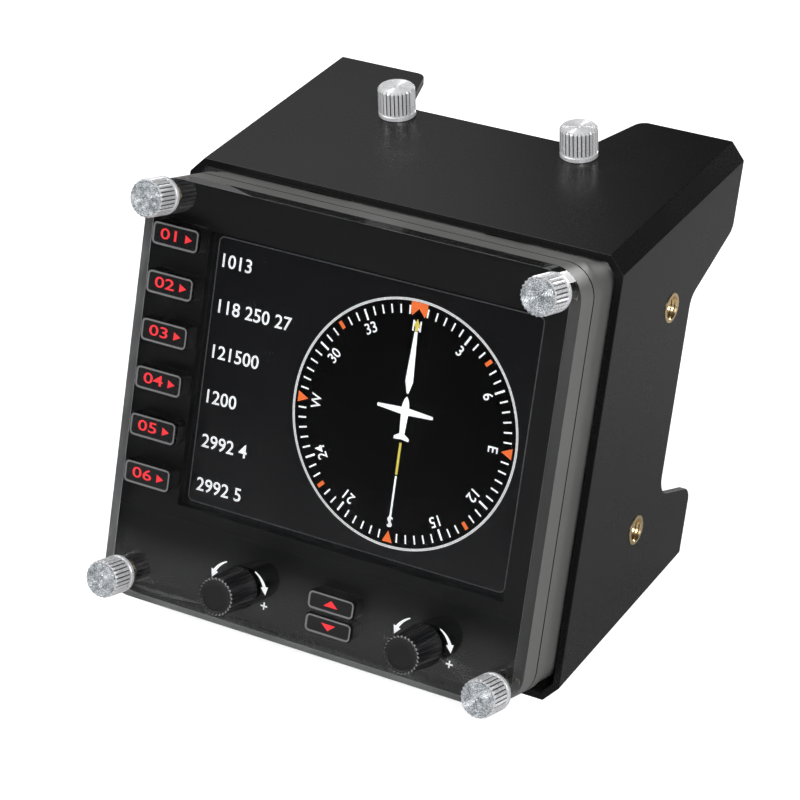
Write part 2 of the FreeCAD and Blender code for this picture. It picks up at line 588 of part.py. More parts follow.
def make_board():
    """Circuit board and what is soldered on it."""
    body = panel_part("main_board")
    outline = sketch_on(body, "XY", BOARD_BACK)
    left, right, low, high = "-board_width / 2", "board_width / 2", "-board_bottom", "board_top"
    low_notch, high_notch = "post_low_y + case_clear_hole / 2", "post_top_y - case_clear_hole / 2"
    corners = [(left, low + " + board_corner"), (left + " + board_corner", low)]
    for x in ("-post_low_x", "post_low_x"):
        near, far = x + " - case_clear_hole / 2", x + " + case_clear_hole / 2"
        corners += [(near, low), (near, low_notch), (far, low_notch), (far, low)]
    corners += [(right + " - board_corner", low), (right, low + " + board_corner")]
    corners += [(right, high + " - board_corner"), (right + " - board_corner", high)]
    for x in ("post_top_x", "-post_top_x"):
        near, far = x + " + case_clear_hole / 2", x + " - case_clear_hole / 2"
        corners += [(near, high), (near, high_notch), (far, high_notch), (far, high)]
    corners += [(left + " + board_corner", high), (left, high + " - board_corner")]
    polygon(outline, corners)
    rectangle(outline, "screen_x", RIBBON_Y, "ribbon_width + ribbon_slot", "ribbon_slot")
    pad(body, outline, "board_thickness")
    body = panel_part("board_chips")
    for x, y, size in (("chip_x", "chip_y", "chip_size"),
                       ("chip_x", "chip_y + 1.5 * chip_size", "chip_small"),
                       ("socket_x", "socket_y + 1.5 * chip_small", "chip_small")):
        block(body, x, y, BOARD_BACK + " - chip_thickness", size, size, "chip_thickness")
    body = panel_part("ribbon_connector")
    block(body, "screen_x", "connector_top - connector_depth / 2", BOARD_BACK + " - connector_height",
          "ribbon_width + 2 * connector_margin", "connector_depth", "connector_height")
    body = panel_part("screen_ribbon")
    path = sketch_on(body, "YZ", "screen_x")
    leave = "(%s - backlight_thickness / 2)" % BACKLIGHT_FRONT
    half = " ribbon_thickness / 2"
    start = "screen_y + module_height / 2"
    polygon(path, [(start, leave + " +" + half), (RIBBON_Y + " +" + half, leave + " +" + half),
                   (RIBBON_Y + " +" + half, CONNECTOR_Z + " -" + half),
                   ("connector_top", CONNECTOR_Z + " -" + half),
                   ("connector_top", CONNECTOR_Z + " +" + half),
                   (RIBBON_Y + " -" + half, CONNECTOR_Z + " +" + half),
                   (RIBBON_Y + " -" + half, leave + " -" + half), (start, leave + " -" + half)])
    strip = pad(body, path, "ribbon_width", both_ways=True)
    outside, inside = number(RIBBON_Y + " +" + half), number(RIBBON_Y + " -" + half)
    for edge_y, radius in ((outside, "ribbon_bend + ribbon_thickness / 2"),
                           (inside, "ribbon_bend - ribbon_thickness / 2")):
        bends = edges_where(strip, lambda middle, direction: abs(direction.x) > 0.999
                            and abs(middle.y - edge_y) < 1e-6)
        strip = soften(body, "Fillet", strip, bends, radius)
    body = panel_part("key_switches")
    for name, x, y, width, height in KEYS:
        block(body, x, y, "-board_front", "switch_width", "switch_height", "board_front - switch_front")
    wells = sketch_on(body, "XY", "-switch_front")
    for name, x, y, width, height in KEYS:
        rectangle(wells, x, y, "key_tip + 2 * key_gap", "key_tip + 2 * key_gap")
    pocket(body, wells, "switch_well_depth - switch_front")
    body = panel_part("key_lamps")
    for name, x, y, width, height in KEYS:
        block(body, x + " + led_offset", y, "-board_front", "led_size", "led_size", "led_height")


def make_keys():
    """Eight push keys: a cap in the plate, a stem through the fascia and a tip in the switch."""
    for name, x, y, width, height in KEYS:
        body = panel_part(name, x, y)
        outline = sketch_on(body, "XY", "key_foot")
        cut_rectangle(outline, "0", "0", width, height, "key_corner")
        cap = pad(body, outline, "plate_thickness + key_proud - key_foot")
        top = number("plate_thickness + key_proud")
        rim = edges_where(cap, lambda middle, direction: abs(middle.z - top) < 1e-6)
        soften(body, "Chamfer", cap, rim, "key_edge")
        stem_end = "-switch_front + key_gap + key_travel"
        block(body, "0", "0", stem_end, "key_stem_width", "key_stem_height", "key_foot - (%s)" % stem_end)
        block(body, "0", "0", "-key_tip_depth", "key_tip", "key_tip", "key_tip_depth + (%s)" % stem_end)


def make_encoders():
    """Rotary encoders, their shafts and the fluted knobs."""
    seat = "plate_thickness + knob_gap"
    for side, x in KNOBS.items():
        body = panel_part("encoder_" + side, x, "knob_y")
        block(body, "0", "0", "-board_front", "encoder_size", "encoder_size", "board_front - encoder_front")
        rod(body, "0", "0", "-shaft_reach", "shaft_bore", "shaft_reach - encoder_front", cut=True)
        body = panel_part("shaft_" + side, x, "knob_y")
        rod(body, "0", "0", "-shaft_foot", "shaft_bore - 2 * shaft_clearance",
            "shaft_foot + plate_thickness + knob_gap + knob_height - knob_wall - shaft_end_gap")
        body = panel_part("knob_" + side, x, "knob_y")
        outline = sketch_on(body, "XY", seat)
        toothed_outline(outline, "knob_base", "knob_groove", "knob_grooves")
        grip = pad(body, outline, "knob_height")
        bind(grip, "TaperAngle", "-atan((knob_base - knob_front) / (2 * knob_height))")
        rod(body, "0", "0", seat, "shaft_bore", "knob_height - knob_wall", cut=True)


def make_thumbscrew(body, seat, bore, shank_length):
    """A thumbscrew: a toothed head on its seat and a plain shank below it."""
    outline = sketch_on(body, "XY", seat)
    toothed_outline(outline, "thumb_head", "thumb_groove", "thumb_grooves")
    pad(body, outline, "thumb_head_height")
    rod(body, "0", "0", "%s - %s" % (seat, shank_length), "%s - 2 * shank_clearance" % bore, shank_length)


def make_thumbscrews():
    """Four screws hold the clear plate; two more stand on the deck for stacking a second unit."""
    for index, (x, y) in enumerate(THUMBS, start=1):
        body = panel_part("washer_%d" % index, x, y)
        ring_solid(body, "plate_thickness", "washer_outer", "plate_insert_bore", "washer_thickness")
        body = panel_part("thumbscrew_%d" % index, x, y)
        make_thumbscrew(body, HEAD_SEAT, "plate_insert_bore", "plate_shank_length")
    for side, x in STACK_X.items():
        body = row_part("stack_washer_" + side)
        place(body, x, STACK_TOP_Y, "bracket_height")
        ring_solid(body, "0", "washer_outer", "insert_bore", "washer_thickness")
        body = row_part("stack_thumbscrew_" + side)
        place(body, x, STACK_TOP_Y, "bracket_height")
        make_thumbscrew(body, "washer_thickness", "insert_bore", "stack_shank_length")


def make_case_screws():
    """Four screws through the lugs, the housing and the board into the fascia's posts."""
    body = panel_part("case_screws")
    heads = sketch_on(body, "XY", LUG_BACK)
    for x, y in POSTS:
        hexagon(heads, x, y, "case_head")
    pad(body, heads, "case_head_height", backwards=True)
    for x, y in POSTS:
        rod(body, x, y, LUG_BACK, "case_screw",
            "fascia_depth + housing_depth + lug_thickness - case_screw_end")


def make_data_socket():
    """Upright mini socket for the data lead, open to the back."""
    body = panel_part("data_socket")
    length = "(fascia_depth + housing_depth - board_front - board_thickness)"
    block(body, "socket_x", "socket_y", HOUSING_BACK, "socket_width", "socket_height", length)
    block(body, "socket_x", "socket_y", HOUSING_BACK, "socket_width - 2 * socket_wall",
          "socket_height - 2 * socket_wall", "socket_depth", cut=True)
    block(body, "socket_x", "socket_y", HOUSING_BACK + " + socket_depth - tongue_length",
          "socket_width - 6 * socket_wall", "tongue_thickness", "tongue_length")


make_front_plate()
make_fascia()
make_rear_housing()
make_bracket()
make_inserts()
make_screen()
make_board()
make_keys()
make_encoders()
make_thumbscrews()
make_case_screws()
make_data_socket()

document.recompute()
for item in document.Objects:
    if "Invalid" in item.State or "Error" in item.State:
        raise RuntimeError("%s failed" % item.Label)
os.makedirs("parts", exist_ok=True)
for body in parts:
    if body.Shape.isNull() or not body.Shape.isValid():
        raise RuntimeError("%s has no valid shape" % body.Label)
for body in parts:
    body.Shape.exportStep(os.path.join("parts", body.Label + ".step"))
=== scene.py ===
"""Desktop flight display, dressed for the shop window.

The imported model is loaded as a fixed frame. Each operator below makes one piece or one group of like
pieces in the panel's own axes (x right, y up along the panel, z out of it) and stands it in the frame.
"""
import json
import math

import bmesh
import bpy
from bpy.props import FloatProperty, FloatVectorProperty, IntProperty, PointerProperty
from mathutils import Matrix, Vector

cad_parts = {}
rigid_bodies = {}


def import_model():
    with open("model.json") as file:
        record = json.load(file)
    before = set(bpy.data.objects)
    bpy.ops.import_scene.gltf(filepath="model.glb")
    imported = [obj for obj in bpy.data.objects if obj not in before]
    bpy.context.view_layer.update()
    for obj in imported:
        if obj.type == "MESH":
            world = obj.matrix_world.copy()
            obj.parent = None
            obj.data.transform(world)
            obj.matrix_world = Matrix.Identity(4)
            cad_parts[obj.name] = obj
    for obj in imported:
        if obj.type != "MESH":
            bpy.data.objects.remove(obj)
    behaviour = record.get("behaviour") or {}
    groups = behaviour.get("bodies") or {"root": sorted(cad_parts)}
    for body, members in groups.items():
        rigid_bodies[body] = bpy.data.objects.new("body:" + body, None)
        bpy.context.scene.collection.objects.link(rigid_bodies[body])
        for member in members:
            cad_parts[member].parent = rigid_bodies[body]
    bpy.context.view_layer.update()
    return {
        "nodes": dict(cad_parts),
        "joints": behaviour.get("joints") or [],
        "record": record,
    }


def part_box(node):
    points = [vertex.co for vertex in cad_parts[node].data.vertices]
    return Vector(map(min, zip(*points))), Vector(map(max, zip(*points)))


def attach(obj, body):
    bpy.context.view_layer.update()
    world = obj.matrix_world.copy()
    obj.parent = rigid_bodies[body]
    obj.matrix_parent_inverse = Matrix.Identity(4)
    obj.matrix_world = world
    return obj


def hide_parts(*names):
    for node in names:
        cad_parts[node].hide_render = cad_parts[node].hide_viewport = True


bl_info = {
    "name": "Flight display maker",
    "version": (1, 0, 0),
    "blender": (4, 5, 0),
    "location": "View3D > Sidebar > Flight display",
    "description": "Builds the visible pieces of a leaning flight display on its packed frame",
    "category": "Object",
}

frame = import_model()
MM = 0.001

# The panel's axes come from the axis of a knob, its size from the clear plate's box.
knob_joint = next(joint for joint in frame["joints"] if joint["name"] == "knob_left_turn")
OUT = Vector(knob_joint["axis"]).normalized()
RIGHT = Vector((1, 0, 0))
UP = OUT.cross(RIGHT)
plate_low, plate_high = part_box("front_plate")
plate_span = plate_high - plate_low
skew = OUT.y ** 2 - OUT.z ** 2
PLATE_THICKNESS = (-plate_span.y * OUT.y - plate_span.z * OUT.z) / skew
ORIGIN = (plate_low + plate_high) / 2 - OUT * PLATE_THICKNESS / 2
PANEL = Matrix.Translation(ORIGIN) @ Matrix((RIGHT, UP, OUT)).transposed().to_4x4()
ROW = Matrix.Identity(4)

# Clear plate: radii of its round holes. Fascia: the parting line's level, width and depth.
KNOB_HOLE, SCREW_HOLE = 3.4 * MM, 1.8 * MM
SEAM_LEVEL, SEAM_WIDTH, SEAM_DEPTH = -5.4 * MM, 0.4 * MM, 0.25 * MM

# Screen: width and height of the opening, the page's corner, the width of the line round it, and how
# far one drawn layer lies over the next.
SCREEN_OPENING = (72.0 * MM, 54.3 * MM)
PAGE_CORNER, PAGE_LINE, PAGE_LAYER = 1.2 * MM, 0.22 * MM, 0.02 * MM

# Dial and menu: the dial's centre, then radii and levels in millimetres. A row of the menu gives its
# level, width and number.
DIAL_CENTRE = (13.59 * MM, 5.53 * MM)
DIAL_GROUND, DIAL_RADIUS, DIAL_RIM = 24.3, 24.17, 0.49
TICK_END, NUMBER_RADIUS = 23.31, 19.4
MENU_LEFT, MENU_RISE = -31.1, 1.1
MENU = ((26.9, 6.9, "1013"), (17.7, 17.4, "118 250 27"), (8.5, 11.2, "121500"), (-0.7, 7.3, "1200"),
        (-9.8, 11.8, "2992 4"), (-18.8, 11.9, "2992 5"))

# Keys: the cap's rim, hollow and wall, and the stem from the cap down to its square pin.
KEY_RIM, KEY_HOLLOW, KEY_WALL = 0.4 * MM, 0.12 * MM, 0.8 * MM
STEM_WIDE, STEM_TALL, STEM_PIN, STEM_ROOT = 6.0 * MM, 2.4 * MM, 1.9 * MM, -3.9 * MM

# Thumbscrews: radii of the panel's and the bracket's shanks.
PANEL_SCREW, STACK_SCREW = 1.5 * MM, 2.0 * MM

# Stage: where the camera stands, how far it turns in degrees, and each lamp's place, size and power.
CAMERA_PLACE, CAMERA_TURN, CAMERA_LENS = (0.27531, -0.45190, 0.35994), (58.9205, 1.9069, 30.2451), 138.92
LAMP_TARGET = (0, 0.01, 0.045)
LAMPS = (("lamp_left", (-0.55, -0.4, 0.85), 0.8, 6.5), ("lamp_right", (0.85, -0.3, 0.5), 0.4, 0.6),
         ("lamp_front", (0.75, -0.75, 0.8), 0.4, 9.5), ("lamp_rear", (0.1, 1.0, 0.12), 0.4, 3.0),
         ("lamp_back", (-0.65, 0.6, 0.85), 0.8, 1.4))

SOFT_KEYS = ["soft_key_%d" % number for number in range(1, 7)]
PAGE_KEYS = ["page_key_up", "page_key_down"]


def panel_box(node):
    """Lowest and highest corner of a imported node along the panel's own axes."""
    inverse = PANEL.inverted()
    points = [inverse @ corner.co for corner in frame["nodes"][node].data.vertices]
    return (Vector([min(point[axis] for point in points) for axis in range(3)]),
            Vector([max(point[axis] for point in points) for axis in range(3)]))


class DisplaySizes(bpy.types.PropertyGroup):
    """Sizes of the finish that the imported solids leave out."""

    sheet_ease: FloatProperty(name="Sheet edge", description="Rounding of the bracket's edges",
                              default=0.3 * MM, unit="LENGTH")
    shell_ease: FloatProperty(name="Shell edge", description="Rounding of the moulded shells' edges",
                              default=0.35 * MM, unit="LENGTH")
    plate_ease: FloatProperty(name="Plate edge", description="Polished chamfer round the clear plate",
                              default=0.4 * MM, unit="LENGTH")
    plate_corner: FloatProperty(name="Plate corner", description="Corner radius of the clear plate",
                                default=6.5 * MM, unit="LENGTH")
    key_corner: FloatProperty(name="Key corner", description="Corner radius of a key cap",
                              default=0.95 * MM, unit="LENGTH")
    key_foot: FloatProperty(name="Key foot", description="Height of a cap's underside over the fascia",
                            default=0.7 * MM, unit="LENGTH")
    key_gap: FloatProperty(name="Key gap", description="Gap between a cap and its window",
                           default=0.2 * MM, unit="LENGTH")
    knob_ribs: IntProperty(name="Knob ribs", description="Ribs round a knob", default=28)
    screw_ribs: IntProperty(name="Thumbscrew ribs", description="Ribs round a thumbscrew", default=26)
    print_lift: FloatProperty(name="Print thickness", description="Thickness of a printed mark",
                              default=0.02 * MM, unit="LENGTH")


class DisplayColours(bpy.types.PropertyGroup):
    """Colours of the pieces, as they look under plain light."""

    satin_black: FloatVectorProperty(name="Satin black", description="Bracket and shells", subtype="COLOR",
                                     default=(0.006, 0.006, 0.0065), min=0, max=1)
    key_black: FloatVectorProperty(name="Key black", description="Key caps and knobs", subtype="COLOR",
                                   default=(0.01, 0.01, 0.011), min=0, max=1)
    print_white: FloatVectorProperty(name="Print white", description="White marks", subtype="COLOR",
                                     default=(0.86, 0.87, 0.88), min=0, max=1)
    mark_orange: FloatVectorProperty(name="Mark orange", description="Marks on the dial", subtype="COLOR",
                                     default=(0.85, 0.16, 0.03), min=0, max=1)
    needle_yellow: FloatVectorProperty(name="Needle yellow", description="Tip of the needle",
                                       subtype="COLOR", default=(0.85, 0.7, 0.12), min=0, max=1)
    legend_red: FloatVectorProperty(name="Legend red", description="Legends of the keys", subtype="COLOR",
                                    default=(0.75, 0.03, 0.04), min=0, max=1)
    nickel: FloatVectorProperty(name="Nickel", description="Thumbscrews", subtype="COLOR",
                                default=(0.9, 0.9, 0.92), min=0, max=1)
    brass: FloatVectorProperty(name="Brass", description="Threaded inserts", subtype="COLOR",
                               default=(0.78, 0.6, 0.34), min=0, max=1)


# --- shader nodes -----------------------------------------------------------------------------

class Wire:
    """A node's output that takes part in Python arithmetic."""

    def __init__(self, paint, socket):
        self.paint = paint
        self.socket = socket

    def sum(self, operation, first, second):
        return self.paint.node("ShaderNodeMath", {0: first, 1: second}, operation=operation)

    def __add__(self, other):
        return self.sum("ADD", self, other)

    def __radd__(self, other):
        return self.sum("ADD", other, self)

    def __mul__(self, other):
        return self.sum("MULTIPLY", self, other)

    def __rmul__(self, other):
        return self.sum("MULTIPLY", other, self)


class Paint:
    """The node tree of one material or of the world."""

    def __init__(self, owner):
        owner.use_nodes = True
        self.tree = owner.node_tree
        self.tree.nodes.clear()

    def node(self, kind, sockets=None, output=0, **settings):
        """Add a node: settings first, then the values or links of its sockets."""
        node = self.tree.nodes.new(kind)
        stops = settings.pop("stops", None)
        for name, value in settings.items():
            setattr(node, name, value)
        if stops:
            ramp = node.color_ramp
            while len(ramp.elements) < len(stops):
                ramp.elements.new(1)
            for element, (position, colour) in zip(ramp.elements, stops):
                element.position = position
                element.color = (*colour, 1)
        for name, value in (sockets or {}).items():
            if isinstance(value, Wire):
                self.tree.links.new(value.socket, node.inputs[name])
            else:
                node.inputs[name].default_value = value
        return Wire(self, node.outputs[output]) if node.outputs else node

    def place(self, turn=(0, 0, 0), scale=(1, 1, 1)):
        """Object coordinates, turned and scaled."""
        where = self.node("ShaderNodeTexCoord", output="Object")
        return self.node("ShaderNodeMapping", {"Vector": where, "Rotation": turn, "Scale": scale})

    def noise(self, where, scale, detail):
        return self.node("ShaderNodeTexNoise", {"Vector": where, "Scale": scale, "Detail": detail})

    def mix(self, factor, first, second):
        """Mix two colours."""
        return self.node("ShaderNodeMix", {0: factor, 6: first, 7: second}, output=2, data_type="RGBA")

    def bump(self, height, distance):
        return self.node("ShaderNodeBump", {"Height": height, "Distance": distance, "Strength": 1.0})

    def shade(self, **sockets):
        """A principled surface; underscores stand for spaces."""
        values = {name.replace("_", " "): value for name, value in sockets.items()}
        surface = self.node("ShaderNodeBsdfPrincipled", values)
        self.node("ShaderNodeOutputMaterial", {"Surface": surface})


def rgba(colour, level):
    return (colour[0] * level, colour[1] * level, colour[2] * level, 1)


finishes = {}


def new_paint(name):
    material = bpy.data.materials.new(name)
    finishes[name] = material
    return Paint(material)


def grained(name, colour, roughness, grain, depth, spread=0.15, wear=0.06, stretch=(1, 1, 1), **fixed):
    """A surface with fine grain, a slow drift of tone and patches of wear in its gloss."""
    paint = new_paint(name)
    fine = paint.noise(paint.place(scale=stretch), grain, 4)
    slow = paint.noise(paint.place(), 60, 2)
    tone = paint.mix(slow, rgba(colour, 1 - spread), rgba(colour, 1 + spread))
    gloss = roughness - wear + slow * wear + fine * wear
    paint.shade(Base_Color=tone, Roughness=gloss, Normal=paint.bump(fine, depth), **fixed)


def lit(name, colour, glow):
    """A printed or lit mark: its own colour with a little light of its own."""
    paint = new_paint(name)
    fine = paint.noise(paint.place(), 1500, 2)
    tone = paint.mix(fine, rgba(colour, 0.94), rgba(colour, 1.04))
    paint.shade(Base_Color=tone, Roughness=0.4 + fine * 0.1, Normal=paint.bump(fine, 0.004 * MM),
                Emission_Color=tone, Emission_Strength=glow)


def mix_finishes(colours):
    """Make every finish once."""
    grained("bracket_satin", colours.satin_black, 0.27, 2200, 0.0005 * MM, 0.12, 0.04,
           Specular_IOR_Level=0.3)
    grained("fascia_satin", (0.007, 0.007, 0.0075), 0.38, 2600, 0.0001 * MM, 0.05, 0.02,
           Specular_IOR_Level=0.25)
    # Painted light: the black shells' sides are given grey, a lit copy of the black, for the light that
    # falls on them.
    grained("shell_side", (0.2, 0.2, 0.195), 0.4, 1500, 0.0015 * MM)
    grained("housing_satin", colours.satin_black, 0.45, 1500, 0.003 * MM)
    grained("key_gloss", colours.key_black, 0.28, 1800, 0.0015 * MM)
    grained("knob_satin", colours.key_black, 0.36, 1900, 0.002 * MM)
    # Painted highlight: a light grey on the knobs' front rim stands in for the light the rib ends catch.
    grained("knob_rim", (0.4, 0.4, 0.41), 0.3, 1900, 0.001 * MM)
    grained("nickel", colours.nickel, 0.28, 2600, 0.002 * MM, 0.06, 0.1, Metallic=0.25)
    # Painted shade: near-black groove floors on the thumbscrews stand in for the shade that falls in the
    # real grooves.
    grained("nickel_groove", (0.03, 0.03, 0.032), 0.4, 2600, 0.002 * MM, 0.1, 0.1, Metallic=0.9)
    paint = new_paint("nickel_face")
    cut = paint.noise(paint.place(), 5200, 2)
    broad = paint.noise(paint.place(), 900, 2)
    bare = paint.node("ShaderNodeValToRGB", {"Fac": cut * 0.7 + broad * 0.3},
                      stops=((0.38, (0.1, 0.12, 0.14)), (0.5, (0.42, 0.45, 0.48)),
                             (0.62, (0.9, 0.92, 0.93))))
    paint.shade(Base_Color=bare, Roughness=0.25 + broad * 0.2, Normal=paint.bump(cut, 0.004 * MM),
                Metallic=0.25)
    # Painted highlight: a light grey on the keys' front bevels stands in for the light they catch.
    grained("key_edge", (0.2, 0.2, 0.205), 0.25, 1800, 0.001 * MM)
    # Painted highlight: white lines on the clear plate's chamfers stand in for the light its edges catch.
    grained("plate_line", (0.8, 0.82, 0.82), 0.2, 1200, 0.001 * MM, 0.05)
    grained("zinc", (0.62, 0.62, 0.63), 0.3, 2400, 0.01 * MM, 0.1, 0.08, Metallic=1.0)
    grained("brass", colours.brass, 0.28, 2000, 0.01 * MM, 0.12, 0.1, Metallic=1.0)
    grained("aluminium", (0.75, 0.75, 0.77), 0.3, 2000, 0.01 * MM, 0.08, 0.06, (1, 1, 6), Metallic=1.0)
    grained("socket_steel", (0.7, 0.7, 0.72), 0.28, 1800, 0.008 * MM, 0.08, 0.08, Metallic=1.0)
    grained("foam", (0.03, 0.03, 0.03), 0.9, 1400, 0.08 * MM, 0.3, 0.05)
    grained("film_amber", (0.5, 0.26, 0.06), 0.3, 700, 0.01 * MM, 0.15)
    grained("cream", (0.72, 0.67, 0.55), 0.5, 900, 0.02 * MM, 0.08)
    grained("chip", (0.025, 0.025, 0.027), 0.55, 1600, 0.02 * MM, 0.2)
    grained("diffuser", (0.82, 0.82, 0.83), 0.5, 600, 0.01 * MM, 0.04)
    grained("lamp_red", (0.75, 0.08, 0.04), 0.2, 500, 0.01 * MM, 0.1)
    paint = new_paint("board_green")
    fine = paint.noise(paint.place(), 1300, 3)
    tracks = paint.node("ShaderNodeTexWave", {"Vector": paint.place(turn=(0, 0, 0.6)), "Scale": 180.0,
                                              "Distortion": 2.0}, bands_direction="DIAGONAL")
    tone = paint.mix(tracks, (0.012, 0.13, 0.06, 1), (0.03, 0.21, 0.1, 1))
    paint.shade(Base_Color=tone, Roughness=0.3 + fine * 0.1, Normal=paint.bump(tracks, 0.02 * MM))
    paint = new_paint("clear_plate")
    haze = paint.noise(paint.place(), 240, 2)
    tone = paint.mix(haze, (0.96, 0.97, 0.97, 1), (0.985, 0.99, 0.99, 1))
    paint.shade(Base_Color=tone, Roughness=haze * 0.01, Transmission_Weight=1.0, IOR=1.49)
    # The saw-mark grain is the edge's own; the whitish tone and slight glow on the left and lower faces are
    # painted reflection and glow.
    paint = new_paint("plate_edge")
    saw = paint.noise(paint.place(scale=(1, 1, 5)), 500, 3)
    tone = paint.mix(saw, (0.8, 0.82, 0.82, 1), (0.93, 0.94, 0.95, 1))
    paint.shade(Base_Color=tone, Roughness=0.3 + saw * 0.1, Normal=paint.bump(saw, 0.004 * MM),
                Transmission_Weight=0.3, IOR=1.49, Emission_Color=tone, Emission_Strength=0.02)
    paint = new_paint("screen_glass")
    smear = paint.noise(paint.place(), 90, 2)
    tone = paint.mix(smear, (0.008, 0.008, 0.009, 1), (0.011, 0.011, 0.012, 1))
    paint.shade(Base_Color=tone, Roughness=0.12 + smear * 0.08, Normal=paint.bump(smear, 0.0003 * MM),
                Emission_Color=tone, Emission_Strength=0.3, Specular_IOR_Level=0.3)
    paint = new_paint("dial_glass")
    smear = paint.noise(paint.place(), 90, 2)
    tone = paint.mix(smear, (0.002, 0.002, 0.002, 1), (0.003, 0.003, 0.003, 1))
    paint.shade(Base_Color=tone, Roughness=0.12 + smear * 0.08, Normal=paint.bump(smear, 0.0003 * MM),
                Specular_IOR_Level=0.2)
    lit("page_white", colours.print_white, 0.75)
    lit("page_grey", (0.16, 0.16, 0.17), 0.3)
    lit("page_orange", colours.mark_orange, 0.6)
    lit("page_yellow", colours.needle_yellow, 0.35)
    # The printed arrows on the clear plate glow a little: a painted glow, since print gives no light.
    lit("print_white", colours.print_white, 0.3)
    lit("legend_red", colours.legend_red, 0.5)


# --- modelling by hand ------------------------------------------------------------------------

def close_edit():
    if bpy.context.object and bpy.context.object.mode != "OBJECT":
        bpy.ops.object.mode_set(mode="OBJECT")
    bpy.ops.object.select_all(action="DESELECT")


def take_up(piece):
    close_edit()
    piece.select_set(True)
    bpy.context.view_layer.objects.active = piece


def begin(name, add, **settings):
    """Add a primitive on its own, free it of its place and open it for editing."""
    close_edit()
    add(**settings)
    piece = bpy.context.object
    piece.name = name
    piece.data.name = name
    bpy.ops.object.transform_apply(location=True, rotation=True, scale=True)
    bpy.ops.object.mode_set(mode="EDIT")
    bpy.ops.mesh.select_mode(type="VERT")
    return piece


def pick(piece, kind, test):
    """Select the faces, edges or verts of the edited piece that pass a test."""
    bpy.ops.mesh.select_mode(type={"faces": "FACE", "edges": "EDGE", "verts": "VERT"}[kind])
    bpy.ops.mesh.select_all(action="DESELECT")
    mesh = bmesh.from_edit_mesh(piece.data)
    for item in getattr(mesh, kind):
        if test(item):
            item.select_set(True)
    mesh.select_flush_mode()
    bmesh.update_edit_mesh(piece.data)


def middle(item):
    return sum((corner.co for corner in item.verts), Vector()) / len(item.verts)


def upright(edge):
    along = edge.verts[1].co - edge.verts[0].co
    return abs(along.z) > 0.9 * along.length


def block(name, low, high):
    """A block between two corners, opened for editing."""
    low, high = Vector(low), Vector(high)
    return begin(name, bpy.ops.mesh.primitive_cube_add, size=1, location=(low + high) / 2, scale=high - low)


def raise_up(height):
    """Extrude what is selected along z."""
    bpy.ops.mesh.extrude_region_move(TRANSFORM_OT_translate={"value": (0, 0, height)})


def round_upright(piece, radius, segments):
    """Round the edges that run along z."""
    pick(piece, "edges", upright)
    bpy.ops.mesh.bevel(offset=radius, segments=segments, affect="EDGES")


def turned(name, profile, around):
    """Turn a piece ring by ring from radius and height pairs. A profile that closes makes a ring."""
    radius, height = profile[0]
    piece = begin(name, bpy.ops.mesh.primitive_circle_add, vertices=around, radius=radius,
                  location=(0, 0, height))
    bpy.ops.mesh.select_all(action="SELECT")
    for (last_radius, last_height), (radius, height) in zip(profile, profile[1:]):
        raise_up(height - last_height)
        grow = radius / last_radius
        bpy.ops.transform.resize(value=(grow, grow, 1), center_override=(0, 0, height))
    bpy.ops.mesh.select_all(action="SELECT")
    bpy.ops.mesh.remove_doubles(threshold=1e-7)
    bpy.ops.mesh.select_all(action="SELECT")
    bpy.ops.mesh.fill_holes(sides=0)
    return piece


def rib(piece, count, low, high, depth):
    """Press grooves into a turned piece between two heights: two corners in every four move in."""
    step = math.tau / (4 * count)

    def in_groove(corner):
        turn = round(math.atan2(corner.co.y, corner.co.x) / step) % 4
        return turn < 2 and low < corner.co.z < high and corner.co.xy.length > depth * 4

    pick(piece, "verts", in_groove)
    mesh = bmesh.from_edit_mesh(piece.data)
    reach = max(corner.co.xy.length for corner in mesh.verts if corner.select)
    shrink = 1 - depth / reach
    bpy.ops.transform.resize(value=(shrink, shrink, 1), center_override=(0, 0, 0))


def drawn(name, outlines, low, thickness):
    """Flat shapes with straight-line outlines, raised to a thin solid."""
    piece = None
    for outline in outlines:
        if piece is None:
            piece = begin(name, bpy.ops.mesh.primitive_circle_add, vertices=len(outline), radius=MM,
                          fill_type="NGON")
            bpy.ops.mesh.select_all(action="SELECT")
        else:
            bpy.ops.mesh.primitive_circle_add(vertices=len(outline), radius=MM, fill_type="NGON",
                                              location=(0, 0, 0))
        mesh = bmesh.from_edit_mesh(piece.data)
        mesh.verts.ensure_lookup_table()
        corners = mesh.verts[-len(outline):]
        for corner, (x, y) in zip(corners, outline):
            corner.co = (x, y, low)
        bmesh.update_edit_mesh(piece.data)
        bpy.ops.mesh.select_all(action="DESELECT")
    bpy.ops.mesh.select_all(action="SELECT")
    bpy.ops.mesh.normals_make_consistent(inside=False)
    raise_up(thickness)
    return piece


def written(name, words, low, thickness):
    """Numbers as thin solids: text, x, y, height, turn and width factor for each."""
    made = []
    for text, x, y, height, turn, width in words:
        close_edit()
        bpy.ops.object.text_add(location=(0, 0, 0))
        letter = bpy.context.object
        letter.data.body = text
        letter.data.align_x, letter.data.align_y = "CENTER", "CENTER"
        letter.data.size = height / 0.7
        letter.data.offset = height * 0.012
        letter.data.extrude = thickness / 2
        letter.data.resolution_u = 3
        bpy.ops.object.convert(target="MESH")
        letter.scale = (width, 1, 1)
        letter.rotation_euler = (0, 0, turn)
        letter.location = (x, y, low + thickness / 2)
        bpy.ops.object.transform_apply(location=True, rotation=True, scale=True)
        made.append(letter)
    close_edit()
    for letter in made:
        letter.select_set(True)
    bpy.context.view_layer.objects.active = made[0]
    bpy.ops.object.join()
    piece = bpy.context.object
    piece.name = name
    piece.data.name = name
    bpy.ops.object.mode_set(mode="EDIT")
    return piece


